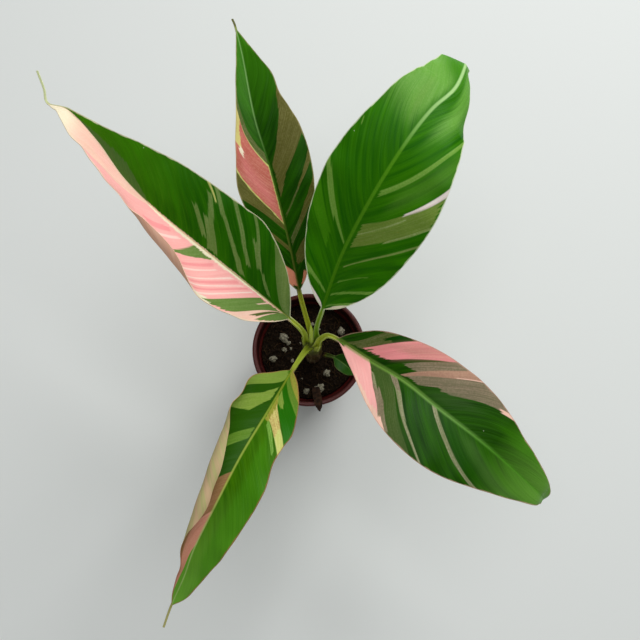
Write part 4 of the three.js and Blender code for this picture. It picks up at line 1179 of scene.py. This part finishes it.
            (85, 8.2, 12, -15, 8.4, 12, -15), (94, 4.6, 11, -6, 3.6, 11, -6), (100, 0, 10, 0, 0, 10, 0)),
        "tip": ("#74b040", 0.66, 1.02), "deep": "#0e3400", "bright": "#2a6000", "glint": "#30680c",
        "rib": ("#7c9c3c", "#74a44c", "#4c8c20", 0.7, 1.25, 0.3, 0.6), "edge": ("#c89c88", 0.6),
        "stem": ("#b4c034", "#c0cc50"), "wing": 0.2, "tail": "#a8b060",
        "left underside": ("#9a9474", "#a88c74", 0.55), "right underside": ("#8f9a6a", "#a4907a", 0.55),
        "left streaks": (
            (22, 110, 1, 8.5, 0.2, 9.2, "mottled", 60), (74, 110, 4.5, 9.5, 5, 9.5, "deep green", 20),
            (26, 110, 7.8, 18.6, 10, 21.6, "rose", 50), (26, 34, 9.4, 10.8, 9, 10.4, "mottled", 40),
            (34, 110, 22.2, 27.5, 20.8, 26.2, "grey brown", 50),
            (12, 36, 28.4, 34, 28.5, 35.2, "grey brown", 50),
            (34, 110, 28.5, 39, 29, 43.6, "grey brown", 40),
            (10, 110, 27.7, 28.9, 25, 30.4, "dusty rose", 70),
            (70, 110, 29.3, 29.6, 29.8, 30.4, "peach", 40), (86, 110, 41, 43, 41.2, 43.8, "peach", 30)),
        "right streaks": (
            (4, 110, 16, 25.5, 15, 26, "moss", 40), (30, 55, 15, 15.8, 13.8, 15.8, "stone", 50),
            (53, 97, 12.8, 17.8, 15, 20, "grey brown", 50), (0, 62, 5.5, 16.5, -5, 13, "pink", 30),
            (60, 110, -5, 13, -22, 16, "pink", 40), (90, 110, 0, 17, 0, 21, "peach", 30),
            (4, 27, 25, 28, 26.2, 28.8, "brown stone", 60), (25, 60, 26.2, 28.8, 27.2, 28.8, "stone", 60),
            (58, 100, 27.3, 28.5, 28.8, 29.7, "stone", 60), (3, 98, 42.6, 44.7, 45, 46.8, "stone", 60)),
        "left sheens": (
            (30, 62, 10, 18, 11, 19, "deep pink", 20, 40), (60, 110, 10, 20, 11, 21.5, "dusty rose", 50, 50),
            (10, 50, 36, 45.5, 40, 46, "shade green", 30, 50),
            (55, 110, 50, 62, 46, 60, "bright green", 20, 40)),
        # The deep green row and the dusk green row are a fold's painted shade and painted light
        "right sheens": (
            (12, 50, 10, 12.5, 5, 8, "deep pink", 20, 50),
            (30, 110, 22.2, 23.6, 22.6, 24.4, "mottled", 40, 50),
            (12, 90, 45.5, 51.5, 47, 53, "deep green", 20, 60),
            (12, 110, 53, 60, 55, 64, "dusk green", 20, 50)),
    },
    "leaf_lower_left": {
        "midrib": (
            (0.4, -3.2, 81), (-1.2, -5.6, 87), (-6, -14, 97), (-15.5, -32, 108), (-26, -51, 117),
            (-35, -69, 119), (-44.3, -87.3, 115), (-49.3, -99.7, 109.5), (-55.5, -112.5, 103),
            (-58.5, -121, 102)),
        "stalk": 22, "thread": 9, "sweep": (0.14, 0.08), "wave": 5.7, "layer": 5, "gloss": 0.34,
        "shine": 0.12,
        "stations": (
            (0, 0, 35, 0, 0, 35, 0), (6, 6, 30, 0, 6.5, 30, 0), (15, 11.5, 25, -5, 15.8, 25, 34),
            (25, 14.8, 22, -8, 17.2, 17, 70), (31, 14.2, 22, -9, 19.8, 14, 97),
            (37, 14, 22, -10, 20.4, 12, 150), (48, 16.2, 22, -10, 19.6, 14, 204),
            (60, 14.8, 22, -10, 15.6, 18, 205), (72, 12.8, 22, -8, 8, 28, 72),
            (79, 10.2, 21, -6, 4.3, 32, 36), (86, 7.4, 20, -5, 3.4, 35, 12), (94, 4.4, 20, -2, 1.9, 35, 4),
            (100, 0, 20, 0, 0, 35, 0)),
        "tip": ("#78b83c", 0.5, 1.05), "deep": "#2a5c00", "bright": "#427600", "glint": "#4c8810",
        "rib": ("#8c9c2c", "#a4b84c", "#a8c474", 0.8, 0.6, 0.35, 0.3), "edge": ("#a8604c", 0.6),
        "stem": ("#94a42c", "#a8b444"), "wing": 0.0, "tail": "#a8a468",
        "left underside": ("#8aa25c", "#7a944c", 0.7), "right underside": ("#bab47a", "#d0b08a", 0.92),
        "left streaks": (
            (8, 110, -5, 1, -25, 0, "olive yellow", 60), (12, 110, 1.2, 5, 0, 5.2, "olive green", 50),
            (15, 100, 5.2, 15, 5.2, 15.5, "fern", 20), (10, 42, 9.2, 14, 10, 13, "pale green", 40),
            (5, 20, 12, 23.2, 14, 22.2, "olive yellow", 60), (18, 60, 14.5, 21.5, 16.3, 20.2, "yellow", 80),
            (58, 110, 16.3, 20.2, 15.4, 19, "pale yellow", 50),
            (18, 86, 21.4, 23.6, 21, 22.6, "light green", 70)),
        "right streaks": (
            (0, 110, 5, 50, 5, 50, "shadow green", 20), (16, 110, 2, 5, -14, 5.6, "pale green", 30),
            (12, 46, 8.5, 15.2, 10.8, 18.5, "pale green", 40),
            (44, 110, 10.8, 18.5, 9.5, 15, "pale green", 40), (6, 50, 27.7, 32.5, 30, 35, "olive green", 40),
            (0, 110, 45.5, 66, 50, 70, "clay", 50), (0, 110, 60, 73, 62, 76, "salmon", 50)),
        "left sheens": (
            (40, 110, 24, 70, 24, 70, "bright green", 20, 50),),
        "right sheens": (
            (15, 80, 55, 62, 60, 68, "salmon", 50, 60),),
    },
    "leaf_low_small": {
        "midrib": (
            (7.6, -3.1, 54), (9, -3.8, 58.5), (13, -5.5, 61.5), (18.5, -9.5, 62.5), (23.5, -14, 59)),
        "stalk": 9, "thread": 0, "sweep": (0.25, 0.1), "wave": 2.2, "layer": 0, "gloss": 0.4, "shine": 0.1,
        "stations": (
            (0, 0, 30, 0, 0, 30, 0), (30, 4.5, 25, -5, 4.5, 25, -5), (65, 4, 20, -5, 4, 20, -5),
            (100, 0, 20, 0, 0, 20, 0)),
        "tip": ("#2f6010", 0.4, 1.0), "deep": "#173a08", "bright": "#27560c", "glint": "#3a6420",
        "rib": ("#4f6a2a", "#5a7a34", "#5a7a34", 0.7, 0.5, 0.25, 0.25), "edge": ("#5a5a30", 0.5),
        "stem": ("#3d4a1c", "#4c5a26"), "wing": 0.0, "tail": "#4c5a26",
        "left underside": ("#55633a", "#4a5a30", 0.6), "right underside": ("#55633a", "#4a5a30", 0.6),
    },
}

for node, leaf in LEAVES.items():
    piece, path = blade_shell(leaf)
    if leaf["layer"] > 0:
        pick(piece, sheath_shell(leaf, path))
        bpy.ops.object.join()
    finished(piece, node + "_blade", leaf_finish(node + " skin", leaf), node, smooth=55)
